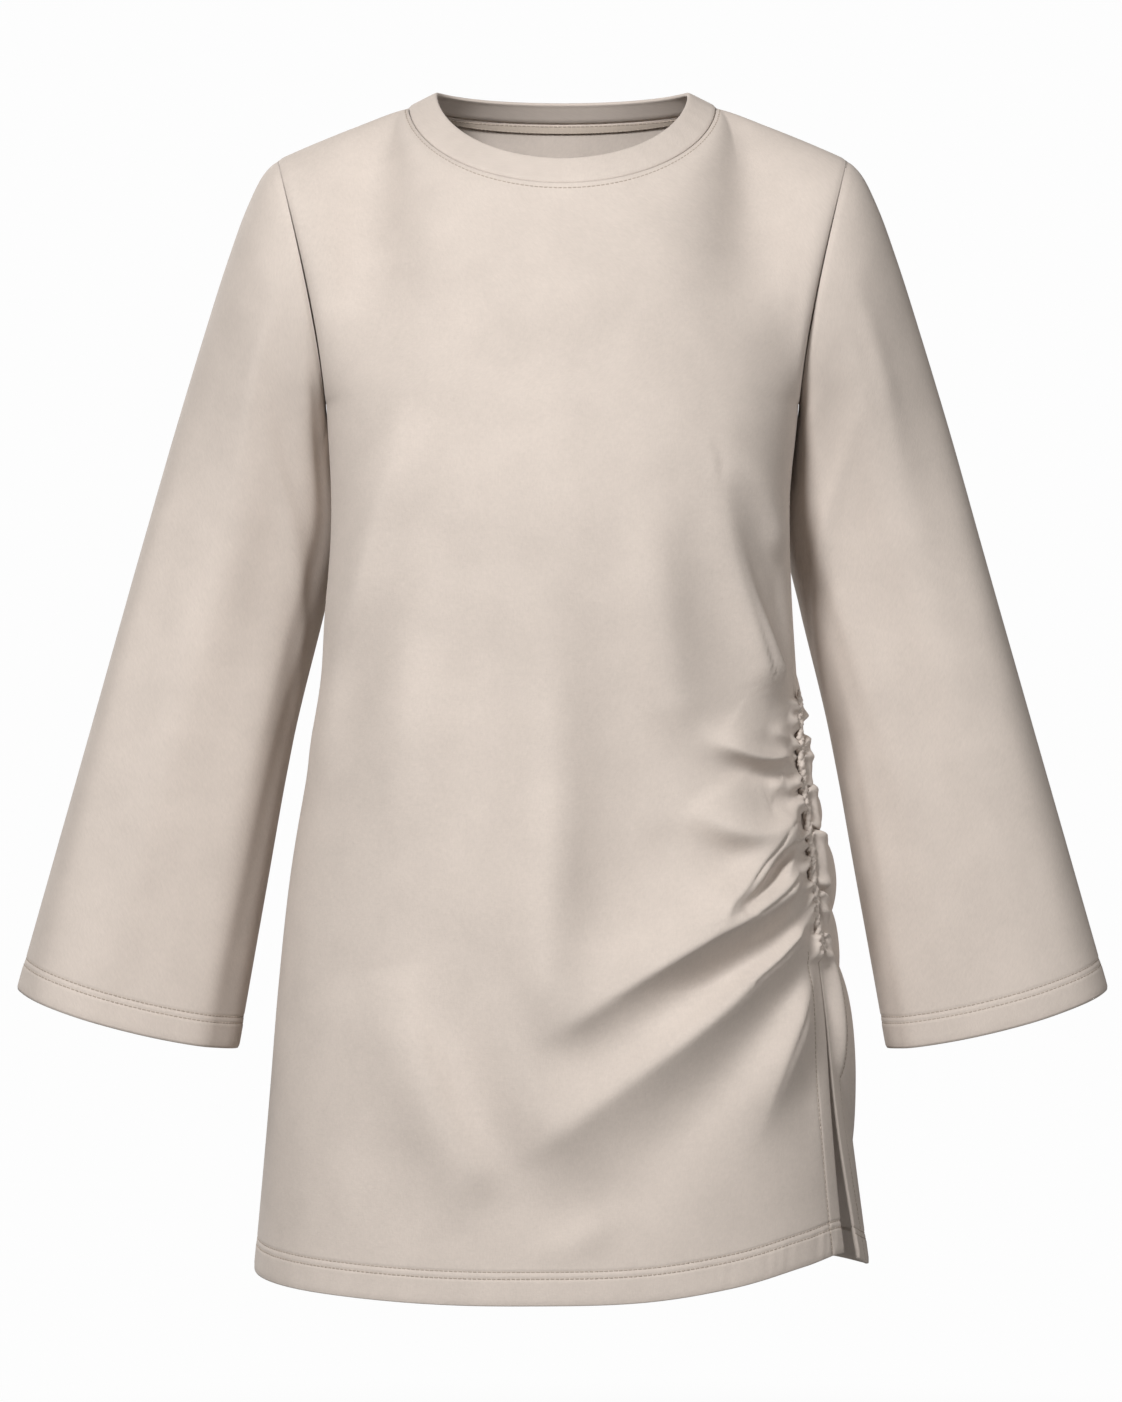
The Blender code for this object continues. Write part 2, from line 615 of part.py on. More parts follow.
def make_sleeve(name, side, material):
    along = spaced((0, 0.10, 4), (0.10, CUFF_START, 13), (CUFF_START, 1.0, 1))
    outer, inner = sleeve_layers(side, along)
    rows, around = outer.shape[:2]
    verts = [*outer.reshape(-1, 3), *inner.reshape(-1, 3)]
    inside = rows * around
    faces = []
    for r in range(rows):
        for c in range(around):
            here, beside = r * around + c, r * around + (c + 1) % around
            if r + 1 < rows:
                faces.append([here, beside, beside + around, here + around])
                low = [here, here + around, beside + around, beside]
                faces.append([inside + i for i in low])
            else:
                faces.append([here, beside, inside + beside, inside + here])
            if r == 0:
                faces.append([beside, here, inside + here, inside + beside])
    if side < 0:
        faces = [f[::-1] for f in faces]
    sleeve = make_object(name, verts, faces)
    sleeve.data.materials.append(material)


def ring_solid(name, loops):
    """A closed ring: loops of equal length run the long way, in order round the section."""
    count, long = len(loops), len(loops[0])
    verts = [p for loop in loops for p in loop]
    faces = []
    for a in range(count):
        b = (a + 1) % count
        for i in range(long):
            j = (i + 1) % long
            faces.append([a * long + i, a * long + j, b * long + j, b * long + i])
    return make_object(name, verts, faces)


def make_neckband(material):
    """The doubled band, from its seam up to its folded edge."""
    ahead = [(2 * q - 1) / NECK_SHARE for q in front_columns()]
    behind = [(1 - 2 * q) / NECK_SHARE for q in back_columns()]
    angle = [90 * share for share in ahead if abs(share) < 1.001]
    angle += [180 - 90 * share for share in behind if abs(share) < 0.999]
    angle = np.array(angle)
    seam, edge = neck_point(NECK_SEAM, angle), neck_point(NECK_EDGE, angle)
    rise = edge - seam
    seam = seam + unit(rise) * SEAM_GAP
    ring = np.roll(seam, -1, axis=0) - np.roll(seam, 1, axis=0)
    facing = unit(np.cross(ring, rise))
    outside = ((0.0, 0.0), (0.5, BAND_PROUD), (0.93, BAND_PROUD), (1.0, -0.3 * BAND_CLOTH))
    inside = ((1.0, -0.7 * BAND_CLOTH), (0.93, -BAND_CLOTH), (0.13, -BAND_CLOTH))
    loops = [seam + rise * share + facing * out for share, out in outside + inside]
    band = ring_solid("neckband", loops)
    band.data.materials.append(material)


def make_neck_tape(material):
    """The narrow tape that covers the back neck seam on the inside."""
    columns = [q for q in back_columns() if abs(2 * q - 1) < NECK_SHARE - 0.01]
    levels, _ = panel_levels(FRONT_GATHERS, GATHER_ROWS)
    _, inner = panel_layers(columns, levels, back=True)
    facing = normals(inner[-2:])
    rows = []
    for share in (0.02, 0.86):
        row = inner[-2] * (1 - share) + inner[-1] * share
        rows.append(row + points(0, 0.5 * SEAM_GAP * share, 0) - facing[0] * 3 * SEAM_GAP)
    near = np.array(rows)
    tape = wall("back_neck_tape", near, near - facing * TAPE_THICK, set(), set())
    tape.data.materials.append(material)


def make_seam_welt(material):
    """The bunched seam between the gathers, a row of soft knots."""
    steps = WELT_KNOTS * 3
    share = np.linspace(0, 1, steps + 1)
    top, bottom = GATHER_TOP + 2 * SLIT_END_CLEAR, GATHER_BOTTOM - SLIT_END_CLEAR
    height = top + (bottom - top) * share
    angle = read(SIDE_EDGES, "height", "front", height)
    line = body_point(angle, height)
    along = unit(np.gradient(line, axis=0))
    sideways = unit(body_point(angle + 2, height) - body_point(angle - 2, height))
    outward = unit(np.cross(sideways, -along))
    swell = 0.62 + 0.38 * np.abs(np.cos(math.pi * WELT_KNOTS * share))
    taper = smooth(share / 0.05) * smooth((1 - share) / 0.05)
    size = (0.25 + 0.75 * taper) * swell
    weave = WELT_WEAVE * np.sin(math.pi * WELT_KNOTS * share + 0.6)
    section = ((-1.0, 0.0), (1.0, 0.0), (0.95, 0.55), (0.0, 1.0), (-0.95, 0.55))
    loops = []
    for across, up in section:
        wide = WELT_WIDTH / 2 * size * across + weave
        tall = 2 * SEAM_GAP + WELT_HEIGHT * size * up
        loops.append(line + sideways * wide[:, None] + outward * tall[:, None])
    verts = [p for ring in zip(*loops) for p in ring]
    count = len(section)
    faces = [list(range(count))[::-1]]
    for r in range(steps):
        for i in range(count):
            j = (i + 1) % count
            faces.append([r * count + i, r * count + j, (r + 1) * count + j, (r + 1) * count + i])
    faces.append([steps * count + i for i in range(count)])
    welt = make_object("seam_welt", verts, faces)
    welt.data.materials.append(material)


def main():
    for obj in list(bpy.data.objects):
        bpy.data.objects.remove(obj)
    cloth = knit("brushed_knit", COLOUR)
    make_panels(cloth)
    make_sleeve("sleeve_plain_side", -1.0, cloth)
    make_sleeve("sleeve_gathered_side", 1.0, cloth)
    make_neckband(cloth)
    make_neck_tape(knit("neck_tape", TAPE_COLOUR))
    make_seam_welt(cloth)


main()
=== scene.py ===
# Dresses the tunic sweatshirt: brushed knit panels with their drapes and gathers,
# flared sleeves, a doubled neckband, a puckered side seam and all its stitching.
# Metres, +Z up, the front towards -Y, the gathered seam towards +X.

import functools
import math
from collections import namedtuple

import bpy
import numpy as np
from bpy.props import FloatProperty, FloatVectorProperty, PointerProperty
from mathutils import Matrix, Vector


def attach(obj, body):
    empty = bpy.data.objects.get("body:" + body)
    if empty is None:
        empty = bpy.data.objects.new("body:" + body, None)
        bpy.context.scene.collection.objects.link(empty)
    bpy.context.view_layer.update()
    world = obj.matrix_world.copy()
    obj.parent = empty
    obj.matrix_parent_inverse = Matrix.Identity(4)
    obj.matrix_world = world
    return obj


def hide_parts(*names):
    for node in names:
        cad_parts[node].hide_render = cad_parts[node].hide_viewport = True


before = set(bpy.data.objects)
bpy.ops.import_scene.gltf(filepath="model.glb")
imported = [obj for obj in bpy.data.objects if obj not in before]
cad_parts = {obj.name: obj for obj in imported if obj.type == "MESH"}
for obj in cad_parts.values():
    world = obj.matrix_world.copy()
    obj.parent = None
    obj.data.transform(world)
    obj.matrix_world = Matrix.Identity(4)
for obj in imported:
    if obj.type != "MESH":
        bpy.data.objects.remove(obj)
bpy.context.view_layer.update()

bl_info = {
    "name": "Gathered Tunic Sweatshirt",
    "version": (1, 0, 0),
    "blender": (4, 5, 0),
    "location": "3D View > Sidebar > Tunic",
    "description": "Brushed knit, drapes, gathers and stitching of a long sweatshirt",
    "category": "Object",
}

# ---- measurements

SEAM_GAP = 0.0003
UNDERARM = -0.205
SHOULDER_TIP = -0.036
HEM = -0.800
GATHER_TOP = -0.405
GATHER_BOTTOM = -0.583
SHOULDER_HALF = 0.196
NECK_HALF = 0.106
NECK_SHARE = 0.47
ROUNDNESS = 2.3
ARMHOLE_DEPTH = 0.050
TAPE_LEVEL = 0.945
NECK_BEND = 0.16
BAND_CLOTH = 0.0024
BAND_PROUD = 0.0004
TAPE_CLOTH = 0.0009
TAPE_CLEAR = 0.0009
WELT_HALF_WIDE = 0.0041
WELT_HALF_TALL = 0.0030
WELT_STAND = 0.0026
CUFF_SAG = 0.005
YOKE_BLUR = 0.045
FOLD_MIDDLE = 0.45
MEAN_RADIUS = 0.14

# Turned edges: how far the cloth is turned in, how much it adds and how it is worn
HEM_TURN = 0.0225
SLIT_TURN = 0.0165
TURNED_CLOTH = 0.0012
TURNED_RISE = 0.0003
WORN_ROUND = 0.0004
WORN_WIDE = 0.0007

# How deep and how wide the cloth dips where it is sewn to its neighbour
NECK_DIP = 0.0002
EDGE_DIP = 0.0008
SIDE_DIP = 0.0009
SLEEVE_DIP = 0.0010
EDGE_DIP_WIDE = 0.0026
SIDE_DIP_WIDE = 0.0030

# Stitch rows: how far each lies from its edge, and the groove that it presses
HEM_ROW = 0.0200
SLIT_ROW = 0.0160
NECK_ROW = 0.0040
HEM_GROOVE = 0.00055
SLIT_GROOVE = 0.00045
GROOVE_WIDE = 0.0009

# A stitch: its share of the pitch, its ends and how much of it shows
STITCH_SHARE = 0.74
STITCH_TIP = 1.16
STITCH_SHOULDER = 0.80
STITCH_FLAT = 0.7
STITCH_PROUD = 0.00005
STITCH_STEP = 0.0008
STITCH_TILT = 0.05

# The photographer's place, from which the drapes were drawn
CAMERA_SIDE = -0.001
CAMERA_HEIGHT = -0.409
CAMERA_DISTANCE = 2.8
CAMERA_FIELD = 0.967

# The stage
NEARLY_WHITE = (0.983, 0.983, 0.983, 1.0)
WARM_LIGHT = (1.0, 0.92, 0.80, 1.0)
FLOOR_BOUNCE = (0.30, 0.30, 0.30, 1.0)
FLOOR_SHOWN = (0.86, 0.86, 0.86, 1.0)
FLOOR_RADIUS = 40.0
FADE_START = 1.1
FADE_END = 2.6


def table(row, *rows):
    """Rows of numbers, under the names of their columns."""
    return tuple(row(*numbers) for numbers in rows)


BodyRing = namedtuple("BodyRing", "height plain gathered flare front back")
BODY_RINGS = table(
    BodyRing,
    (-0.840, 0.2160, 0.2115, 0.0060, 0.141, 0.135),
    (-0.760, 0.2085, 0.2010, 0.0055, 0.138, 0.130),
    (-0.680, 0.2015, 0.1930, 0.0035, 0.134, 0.126),
    (-0.600, 0.1950, 0.1872, 0.0025, 0.130, 0.121),
    (-0.520, 0.1860, 0.1782, 0.0010, 0.126, 0.114),
    (-0.450, 0.1735, 0.1652, 0.0000, 0.120, 0.107),
    (-0.390, 0.1600, 0.1610, 0.0000, 0.117, 0.101),
    (-0.330, 0.1585, 0.1575, 0.0000, 0.121, 0.098),
    (-0.270, 0.1590, 0.1565, 0.0000, 0.124, 0.100),
    (-0.205, 0.1625, 0.1625, 0.0000, 0.114, 0.104),
    (-0.150, 0.1650, 0.1640, 0.0000, 0.106, 0.104),
)

# Where the panels end on the gathered side, in degrees round from the centre front
SideEdge = namedtuple("SideEdge", "height front back")
SIDE_EDGES = table(
    SideEdge,
    (-0.840, 67.5, 79.0), (-0.770, 67.8, 75.5), (-0.710, 68.3, 72.0), (-0.650, 68.6, 69.8),
    (-0.583, 66.6, 66.8), (-0.540, 66.4, 66.6), (-0.500, 69.2, 69.4), (-0.450, 74.2, 74.4),
    (-0.405, 78.0, 78.2), (-0.300, 86.0, 86.2), (-0.205, 89.9, 90.1),
)

HemPoint = namedtuple("HemPoint", "angle height")
HEM_LINE = table(
    HemPoint,
    (-90, -0.798), (-45, -0.803), (-8, -0.806), (12, -0.804), (30, -0.7965), (50, -0.786),
    (69, -0.782), (83, -0.793), (135, -0.800), (180, -0.803), (225, -0.801), (270, -0.798),
)

SleeveRing = namedtuple("SleeveRing", "along outer_x outer_z inner_x inner_z shift depth")
SLEEVE_RINGS = table(
    SleeveRing,
    (0.00, 0.1960, -0.0360, 0.1625, -0.2050, 0.000, 0.0500),
    (0.04, 0.2062, -0.0467, 0.1630, -0.2080, 0.002, 0.0508),
    (0.09, 0.2174, -0.0683, 0.1624, -0.2130, 0.006, 0.0515),
    (0.16, 0.2312, -0.1035, 0.1611, -0.2240, 0.014, 0.0515),
    (0.26, 0.2500, -0.1575, 0.1590, -0.2470, 0.028, 0.0505),
    (0.38, 0.2710, -0.2222, 0.1555, -0.2930, 0.042, 0.0495),
    (0.50, 0.2929, -0.2981, 0.1666, -0.3439, 0.048, 0.0485),
    (0.66, 0.3202, -0.3948, 0.1880, -0.4334, 0.046, 0.0475),
    (0.83, 0.3502, -0.5014, 0.2073, -0.5420, 0.042, 0.0465),
    (1.00, 0.3806, -0.6097, 0.2262, -0.6513, 0.038, 0.0455),
)

NeckLoop = namedtuple("NeckLoop", "half front back side drop_front drop_back")
NECK_SEAM = NeckLoop(0.106, 0.088, 0.072, 0.0, 0.0630, 0.0060)
NECK_EDGE = NeckLoop(0.087, 0.076, 0.061, 0.0095, 0.0540, 0.0015)

# Folds. Each runs through its points: across and up on the front as the camera
# sees it, or distance from the gathered seam and height on the back. It stands
# as high as start, middle and end say, all in millimetres. It rises gently over
# "gentle" millimetres on its left or upper side and drops over "steep" on the
# other, into a trough. Its crest is crisp, 1, or round, 0, at its start and end.
Fold = namedtuple("Fold", "run start middle end gentle steep trough crisp", defaults=((0, 0),))
FRONT_FOLDS = table(
    Fold,
    (((168, -523), (158, -537), (133, -557), (109, -570), (84.5, -584),
      (53.5, -602), (16, -626), (-24, -650)), 13, 26, 12, (14, 48), (5, 22), 8, (1.0, 0.8)),
    (((173, -555), (162, -573), (151, -586), (136, -599), (117, -618),
      (95, -636), (57, -664), (26, -687), (-5, -710), (-42, -736)),
     11, 22, 12, (12, 36), (5, 30), 6, (1.0, 0.65)),
    (((176, -590), (168, -625), (155, -660), (145, -685), (139, -701), (114, -738)),
     8, 11, 0, (12, 34), (5, 15), 3, (1.0, 0.6)),
    (((164, -488.5), (151, -507.5), (140, -520), (127, -539), (118, -549),
      (115, -557), (120, -566)), 9, 12, 4, (10, 18), (2.6, 5), 4, (1.0, 0.5)),
    (((168, -508), (157, -519), (154, -528), (156, -534)), 4, 4, 1, (5, 6), (3, 5), 1, (0.6, 0.0)),
    (((160, -453), (156, -448), (150, -449), (136, -448), (122.5, -443),
      (109, -437.5), (88, -418)), 7, 9, 0, (8, 22), (3, 10), 4, (1.0, 0.0)),
    (((160, -491), (148, -498), (136, -499.5), (116, -496), (102, -488), (88, -472)),
     5, 12, 1, (12, 22), (8, 15), 3, (0.2, 0.0)),
    (((156, -470), (147, -466), (138, -466)), 4, 3, 0, (5, 7), (4, 8), 1, (0.5, 0.0)),
    (((159, -436), (150, -431), (143, -421)), 4, 3, 0, (5, 8), (3, 6), 2, (0.8, 0.0)),
    (((110, -262), (122.5, -318), (136, -358), (149, -395), (158, -411)),
     2, 9, 11, (20, 16), (10, 5), 4, (0.1, 0.6)),
    (((100, -215), (118, -240), (134, -255), (147, -280), (157, -317)),
     0, 5, 4, (16, 12), (14, 8), 1),
    (((-114, -226), (-133, -289), (-145, -335), (-156, -369), (-174, -484)),
     2, 9, 1, (18, 24), (11, 15), 2, (0.2, 0.0)),
    (((-15, -262), (-12, -408), (-9, -491), (-15, -574), (-26, -650), (-24, -768)),
     0, 18, 5, (32, 36), (32, 26), 5),
    (((-104, -290), (-106, -408), (-110, -500), (-120, -600)), 0, 13, 0, (30, 32), (34, 38), 2),
    (((62, -262), (70, -367), (88, -446)), 0, 11, 3, (26, 26), (24, 20), 2),
    (((-114, -592), (-104, -650), (-80, -710), (-40, -764)), 0, 13, 3, (30, 30), (16, 18), 3),
    (((-33, -782), (-9, -789), (22, -777), (56, -741)), 0, 3, 0, (12, 12), (12, 12), 1),
    (((175, -567), (168, -573), (166, -580), (167, -592)), 4, 3, 0, (4, 5), (3, 4), 1, (0.8, 0.0)),
    (((-176, -70), (-158, -135), (-118, -205)), 0, 3, 0, (24, 26), (18, 20), 1),
    (((172, -70), (148, -130), (108, -196)), 0, 3, 0, (24, 26), (18, 20), 1),
    (((-60, -110), (0, -128), (60, -110)), 0, 2, 0, (26, 26), (22, 22), 0),
)
BACK_FOLDS = table(
    Fold,
    (((220, -240), (228, -430), (234, -600), (236, -740)), 0, 14, 2, (34, 36), (26, 30), 3),
    (((345, -230), (360, -400), (385, -560), (400, -660)), 0, 11, 0, (26, 28), (22, 26), 2),
    (((110, -235), (114, -320), (98, -412)), 0, 7, 1, (18, 18), (16, 14), 2),
    (((120, -110), (228, -165), (330, -185)), 0, 5, 0, (26, 26), (22, 22), 1),
    (((84, -474), (118, -466), (164, -440)), 0, 8, 0, (16, 24), (10, 16), 1, (0.6, 0.1)),
    (((84, -556), (140, -598), (215, -640)), 0, 14, 2, (20, 36), (12, 22), 2, (0.8, 0.3)),
    (((78, -628), (108, -672), (148, -735)), 0, 11, 2, (18, 30), (12, 22), 2, (0.8, 0.3)),
)

# Cloth that billows out of the back between two tucks: the heights of both tucks
# at the gathered seam, how far each drops per distance away from it, how high
# the cloth stands between them and how far round the back it reaches
Billow = namedtuple("Billow", "top foot top_drop foot_drop high reach")
BILLOWS = table(
    Billow,
    (-406, -438, -0.55, -0.30, 3.0, 80),
    (-438, -468, -0.30, -0.05, 7.0, 120),
    (-468, -494, -0.05, 0.12, 7.5, 140),
    (-494, -534, 0.12, 0.34, 8.5, 190),
    (-534, -562, 0.34, 0.62, 4.0, 170),
    (-562, -650, 0.62, 1.00, 9.0, 150),
)

# Folds along a sleeve: degrees round from its outer edge, through its front, at
# the armhole and at the cuff, and the part of its length that each takes
SleeveFold = namedtuple("SleeveFold", "top cuff gentle steep height start end")
SLEEVE_FOLDS = table(
    SleeveFold,
    (84, 72, 26, 18, 6.5, 0.04, 1.35),
    (80, 74, 9, 6, 2.4, 0.02, 0.52),
    (44, 240, 9, 7, 2.8, 0.20, 0.74),
    (136, 118, 15, 9, 4.6, 0.03, 0.90),
    (150, 138, 14, 10, 4.0, 0.42, 1.25),
    (34, 42, 20, 16, 4.4, 0.30, 1.30),
    (205, 212, 20, 20, 3.2, 0.20, 1.05),
    (252, 258, 22, 18, 6.0, 0.06, 1.25),
    (306, 296, 18, 20, 5.0, 0.15, 1.30),
)

# Short puckers along the gathered seam: height on it, how steeply each runs
# down and away from it, its length and how high it stands, in millimetres
Pucker = namedtuple("Pucker", "at lean long high")
FRONT_PUCKERS = table(
    Pucker,
    (-411, -48, 20, 2.0), (-420, -42, 26, 2.6), (-429, -30, 18, 2.4), (-441, -14, 16, 2.6),
    (-460, 10, 14, 2.4), (-466, 4, 22, 2.6), (-476, 18, 26, 3.0), (-482, 12, 15, 2.4),
    (-498, 20, 24, 3.0), (-504, 24, 14, 2.2), (-515, 30, 22, 2.8), (-531, 22, 20, 2.8),
    (-537, 34, 26, 3.0), (-544, 36, 24, 2.8), (-551, 42, 18, 2.4), (-564, 54, 26, 3.0),
    (-571, 60, 22, 2.6), (-578, 68, 30, 2.8),
)
BACK_PUCKERS = table(
    Pucker,
    (-412, -30, 22, 2.4), (-424, -20, 24, 2.6), (-441, -10, 26, 2.8), (-449, -4, 18, 2.4),
    (-466, 0, 22, 2.8), (-472, 4, 26, 2.6), (-492, 8, 24, 3.0), (-500, 12, 28, 2.8),
    (-529, 18, 24, 3.0), (-537, 26, 28, 2.8), (-545, 34, 22, 2.6), (-562, 46, 26, 3.0),
    (-571, 56, 30, 2.6), (-579, 64, 24, 2.4),
)

# How many rows or columns lie in each stretch
FRONT_COLUMNS = ((0.0, 0.016, 5), (0.016, 0.265, 22), (0.265, 0.50, 19), (0.50, 0.735, 32),
                 (0.735, 0.90, 42), (0.90, 1.0, 34))
BACK_COLUMNS = ((0.0, 0.10, 36), (0.10, 0.265, 27), (0.265, 0.735, 44), (0.735, 0.984, 24),
                (0.984, 1.0, 5))
SKIRT_ROWS = ((0.0, 0.0008, 1), (0.0008, 0.0140, 4), (0.0140, 0.0260, 15), (0.0260, 0.034, 2))
STEP_BELOW = 0.0034
STEP_GATHERED = 0.00142
STEP_ABOVE = 0.0052
YOKE_ROWS = ((0.0, 0.90, 32), (0.90, 1.0, 12))
SLEEVE_COLUMNS = 120
WELT_ROWS = 340
WELT_COLUMNS = 22
BAND_COLUMNS = 200


class TunicForm(bpy.types.PropertyGroup):
    """Sizes that a user would change."""

    cloth: FloatProperty(
        name="Cloth", description="Thickness of the brushed knit", default=0.0013, unit="LENGTH"
    )
    gathers: FloatProperty(
        name="Gathers", description="How strongly the side seam puckers",
        default=1.3, subtype="FACTOR"
    )
    pitch: FloatProperty(
        name="Stitch", description="Distance from one stitch to the next",
        default=0.0032, unit="LENGTH"
    )
    thread: FloatProperty(
        name="Thread", description="Thickness of the thread", default=0.0009, unit="LENGTH"
    )
    twin: FloatProperty(
        name="Twin needle", description="Distance between the two rows of a hem",
        default=0.0045, unit="LENGTH"
    )


class TunicColours(bpy.types.PropertyGroup):
    """Colours that a user would change."""

    knit: FloatVectorProperty(
        name="Knit", description="Colour of the brushed knit",
        default=(0.600, 0.528, 0.474), subtype="COLOR"
    )
    tape: FloatVectorProperty(
        name="Tape", description="Colour of the neck tape",
        default=(0.540, 0.462, 0.392), subtype="COLOR"
    )
    # Darker than the light thread itself: partly its own colour, partly painted shade that stands
    # for the shadow between the stitches
    thread: FloatVectorProperty(
        name="Thread", description="Colour of the stitching",
        default=(0.420, 0.355, 0.300), subtype="COLOR"
    )


class TunicStage(bpy.types.PropertyGroup):
    """Light and floor."""

    key: FloatProperty(
        name="Key light", description="Power of the large soft light",
        default=90.0, unit="POWER"
    )
    fill: FloatProperty(
        name="Fill light", description="Power of the light opposite", default=27.0, unit="POWER"
    )
    room: FloatProperty(
        name="Room", description="Brightness of the pale room all round",
        default=0.115, subtype="FACTOR"
    )
    floor: FloatProperty(
        name="Floor", description="Height of the floor", default=-1.25, unit="LENGTH"
    )


# ---- curves and tables


def smooth(t):
    """Rises softly from 0 to 1 as t does."""
    t = np.clip(t, 0.0, 1.0)
    return t * t * (3.0 - 2.0 * t)


def ridge(distance, width):
    """1 at no distance, falling off softly over a width."""
    return np.exp(-((distance / width) ** 2))


def through(x, y, at):
    """A soft curve through the places x, y, read at any place."""
    slope = np.gradient(y, x)
    at = np.clip(at, x[0], x[-1])
    i = np.clip(np.searchsorted(x, at, side="right") - 1, 0, len(x) - 2)
    step = x[i + 1] - x[i]
    t = (at - x[i]) / step
    start = (1 + 2 * t) * (1 - t) ** 2 * y[i] + t * (1 - t) ** 2 * step * slope[i]
    end = t * t * (3 - 2 * t) * y[i + 1] + t * t * (t - 1) * step * slope[i + 1]
    return start + end


def read(table, key, column, at):
    """A table's column at any place."""
    rows = sorted(table, key=lambda row: getattr(row, key))
    x = np.array([getattr(row, key) for row in rows], float)
    y = np.array([getattr(row, column) for row in rows], float)
    return through(x, y, at)


def points(x, y, z):
    return np.stack(np.broadcast_arrays(x, y, z), axis=-1)


def unit(v):
    return v / np.maximum(np.linalg.norm(v, axis=-1, keepdims=True), 1e-12)


def spaced(stretches):
    """Places along one line: each stretch gives its start, end and number of steps."""
    places = [stretches[0][0]]
    for start, end, count in stretches:
        places += [start + (end - start) * (i + 1) / count for i in range(count)]
    return np.array(places)


def normals(grid):
    """Outward directions of a grid of points, rows first, seen from outside."""
    return unit(np.cross(np.gradient(grid, axis=1), np.gradient(grid, axis=0)))


def run_length(grid, axis):
    """How far each point lies from the first along its row or column."""
    steps = np.linalg.norm(np.diff(grid, axis=axis), axis=-1)
    zero = np.zeros_like(np.take(grid[..., 0], [0], axis=axis))
    return np.concatenate([zero, np.cumsum(steps, axis=axis)], axis=axis)


def closed(grid):
    """A ring's grid with its first column again at its end."""
    return np.concatenate([grid, grid[:, :1]], axis=1)


def quads(index):
    """Faces between the rows and columns of a grid of vertex numbers."""
    corners = (index[:-1, :-1], index[:-1, 1:], index[1:, 1:], index[1:, :-1])
    return np.stack(corners, axis=-1).reshape(-1, 4)


# ---- the body's form


def body_point(angle, height):
    """The body's smooth surface, at degrees round from the centre front."""
    turn = np.radians(angle)
    s, c = np.sin(turn), np.cos(turn)
    plain, gathered, flare, front, back = (
        read(BODY_RINGS, "height", column, height) for column in BodyRing._fields[1:]
    )
    gathered = gathered + flare * smooth((angle - 68) / 24) * smooth((180 - angle) / 70)
    power = 2.0 / ROUNDNESS
    x = np.where(s > 0, gathered, plain) * np.sign(s) * np.abs(s) ** power
    y = -np.where(c > 0, front, back) * np.sign(c) * np.abs(c) ** power
    return points(x, y, height)


def neck_point(loop, angle):
    """A point of the neckline, at degrees round from the centre front."""
    turn = np.radians(angle)
    s, c = np.sin(turn), np.cos(turn)
    bend = NECK_BEND / 2
    ahead = (c + np.sqrt(c * c + NECK_BEND**2)) / 2 - bend
    behind = (np.sqrt(c * c + NECK_BEND**2) - c) / 2 - bend
    full = (1 + math.sqrt(1 + NECK_BEND**2)) / 2 - bend
    y = np.where(c > 0, -loop.front * c, -loop.back * c)
    z = loop.side - (loop.drop_front * ahead + loop.drop_back * behind) / full
    return points(loop.half * s, y, z)


def armhole(rise, side, depth):
    """The armhole from the underarm, rise 0, to the shoulder tip, rise 1."""
    turn = math.pi * rise
    share = (1 - np.cos(turn)) / 2
    foot = read(BODY_RINGS, "height", "gathered" if side > 0 else "plain", UNDERARM)
    x = foot + (SHOULDER_HALF - foot) * share**1.4
    return points(side * x, depth * np.sin(turn), UNDERARM + (SHOULDER_TIP - UNDERARM) * share)


def top_edge(s, back):
    """The top of a panel, with the way and distance that the cloth arrives."""
    way = -1.0 if back else 1.0
    share = np.abs(s)
    turn = np.clip(share / NECK_SHARE, 0, 1) * 90
    at_neck = neck_point(NECK_SEAM, np.where(back, 180 - turn, turn))
    out = np.clip((share - NECK_SHARE) / (1 - NECK_SHARE), 0, 1)
    shoulder = points(
        NECK_HALF + (SHOULDER_HALF - NECK_HALF) * out, 0 * out, SHOULDER_TIP * out**1.15
    )
    top = np.where((share <= NECK_SHARE)[..., None], at_neck, shoulder)
    top = top * points(np.where(s < 0, -1.0, 1.0), 1.0, 1.0)
    over = np.sin(np.radians(turn))[..., None] ** 2
    corner = over * (1 - smooth(out / 0.4))[..., None] * points(-np.sign(s), 0, 0)
    rise_way = np.array([0.0, way * 0.38, 0.92])
    over_way = np.array([0.0, way * 1.0, 0.22])
    arrive = unit(rise_way * (1 - over) + over_way * over + 0.9 * corner)
    return top, arrive * (0.050 * (1 - over) + 0.030 * over)


def yoke(s, rise, back):
    """A panel above the underarm: rise 0 there, 1 at the top edge."""

    def column(s):
        angle = 180 - 90 * s if back else 90 * s
        foot = body_point(angle, UNDERARM + 0 * s)
        slope = unit(body_point(angle, UNDERARM + 0.02 + 0 * s) - foot)
        top, arrive = top_edge(s, back)
        r = rise[..., None]
        a, b = foot + slope * 0.055, top - arrive
        return (
            foot * (1 - r) ** 3 + 3 * a * r * (1 - r) ** 2 + 3 * b * r * r * (1 - r) + top * r**3
        )

    depth = ARMHOLE_DEPTH if back else -ARMHOLE_DEPTH
    made = column(s)
    for side in (-1.0, 1.0):
        near = smooth((s * side - 0.45) / 0.55)[..., None] ** 1.5
        edge = column(np.full_like(s, side))
        made = made + near * (armhole(rise, side, depth) - edge)
    return made


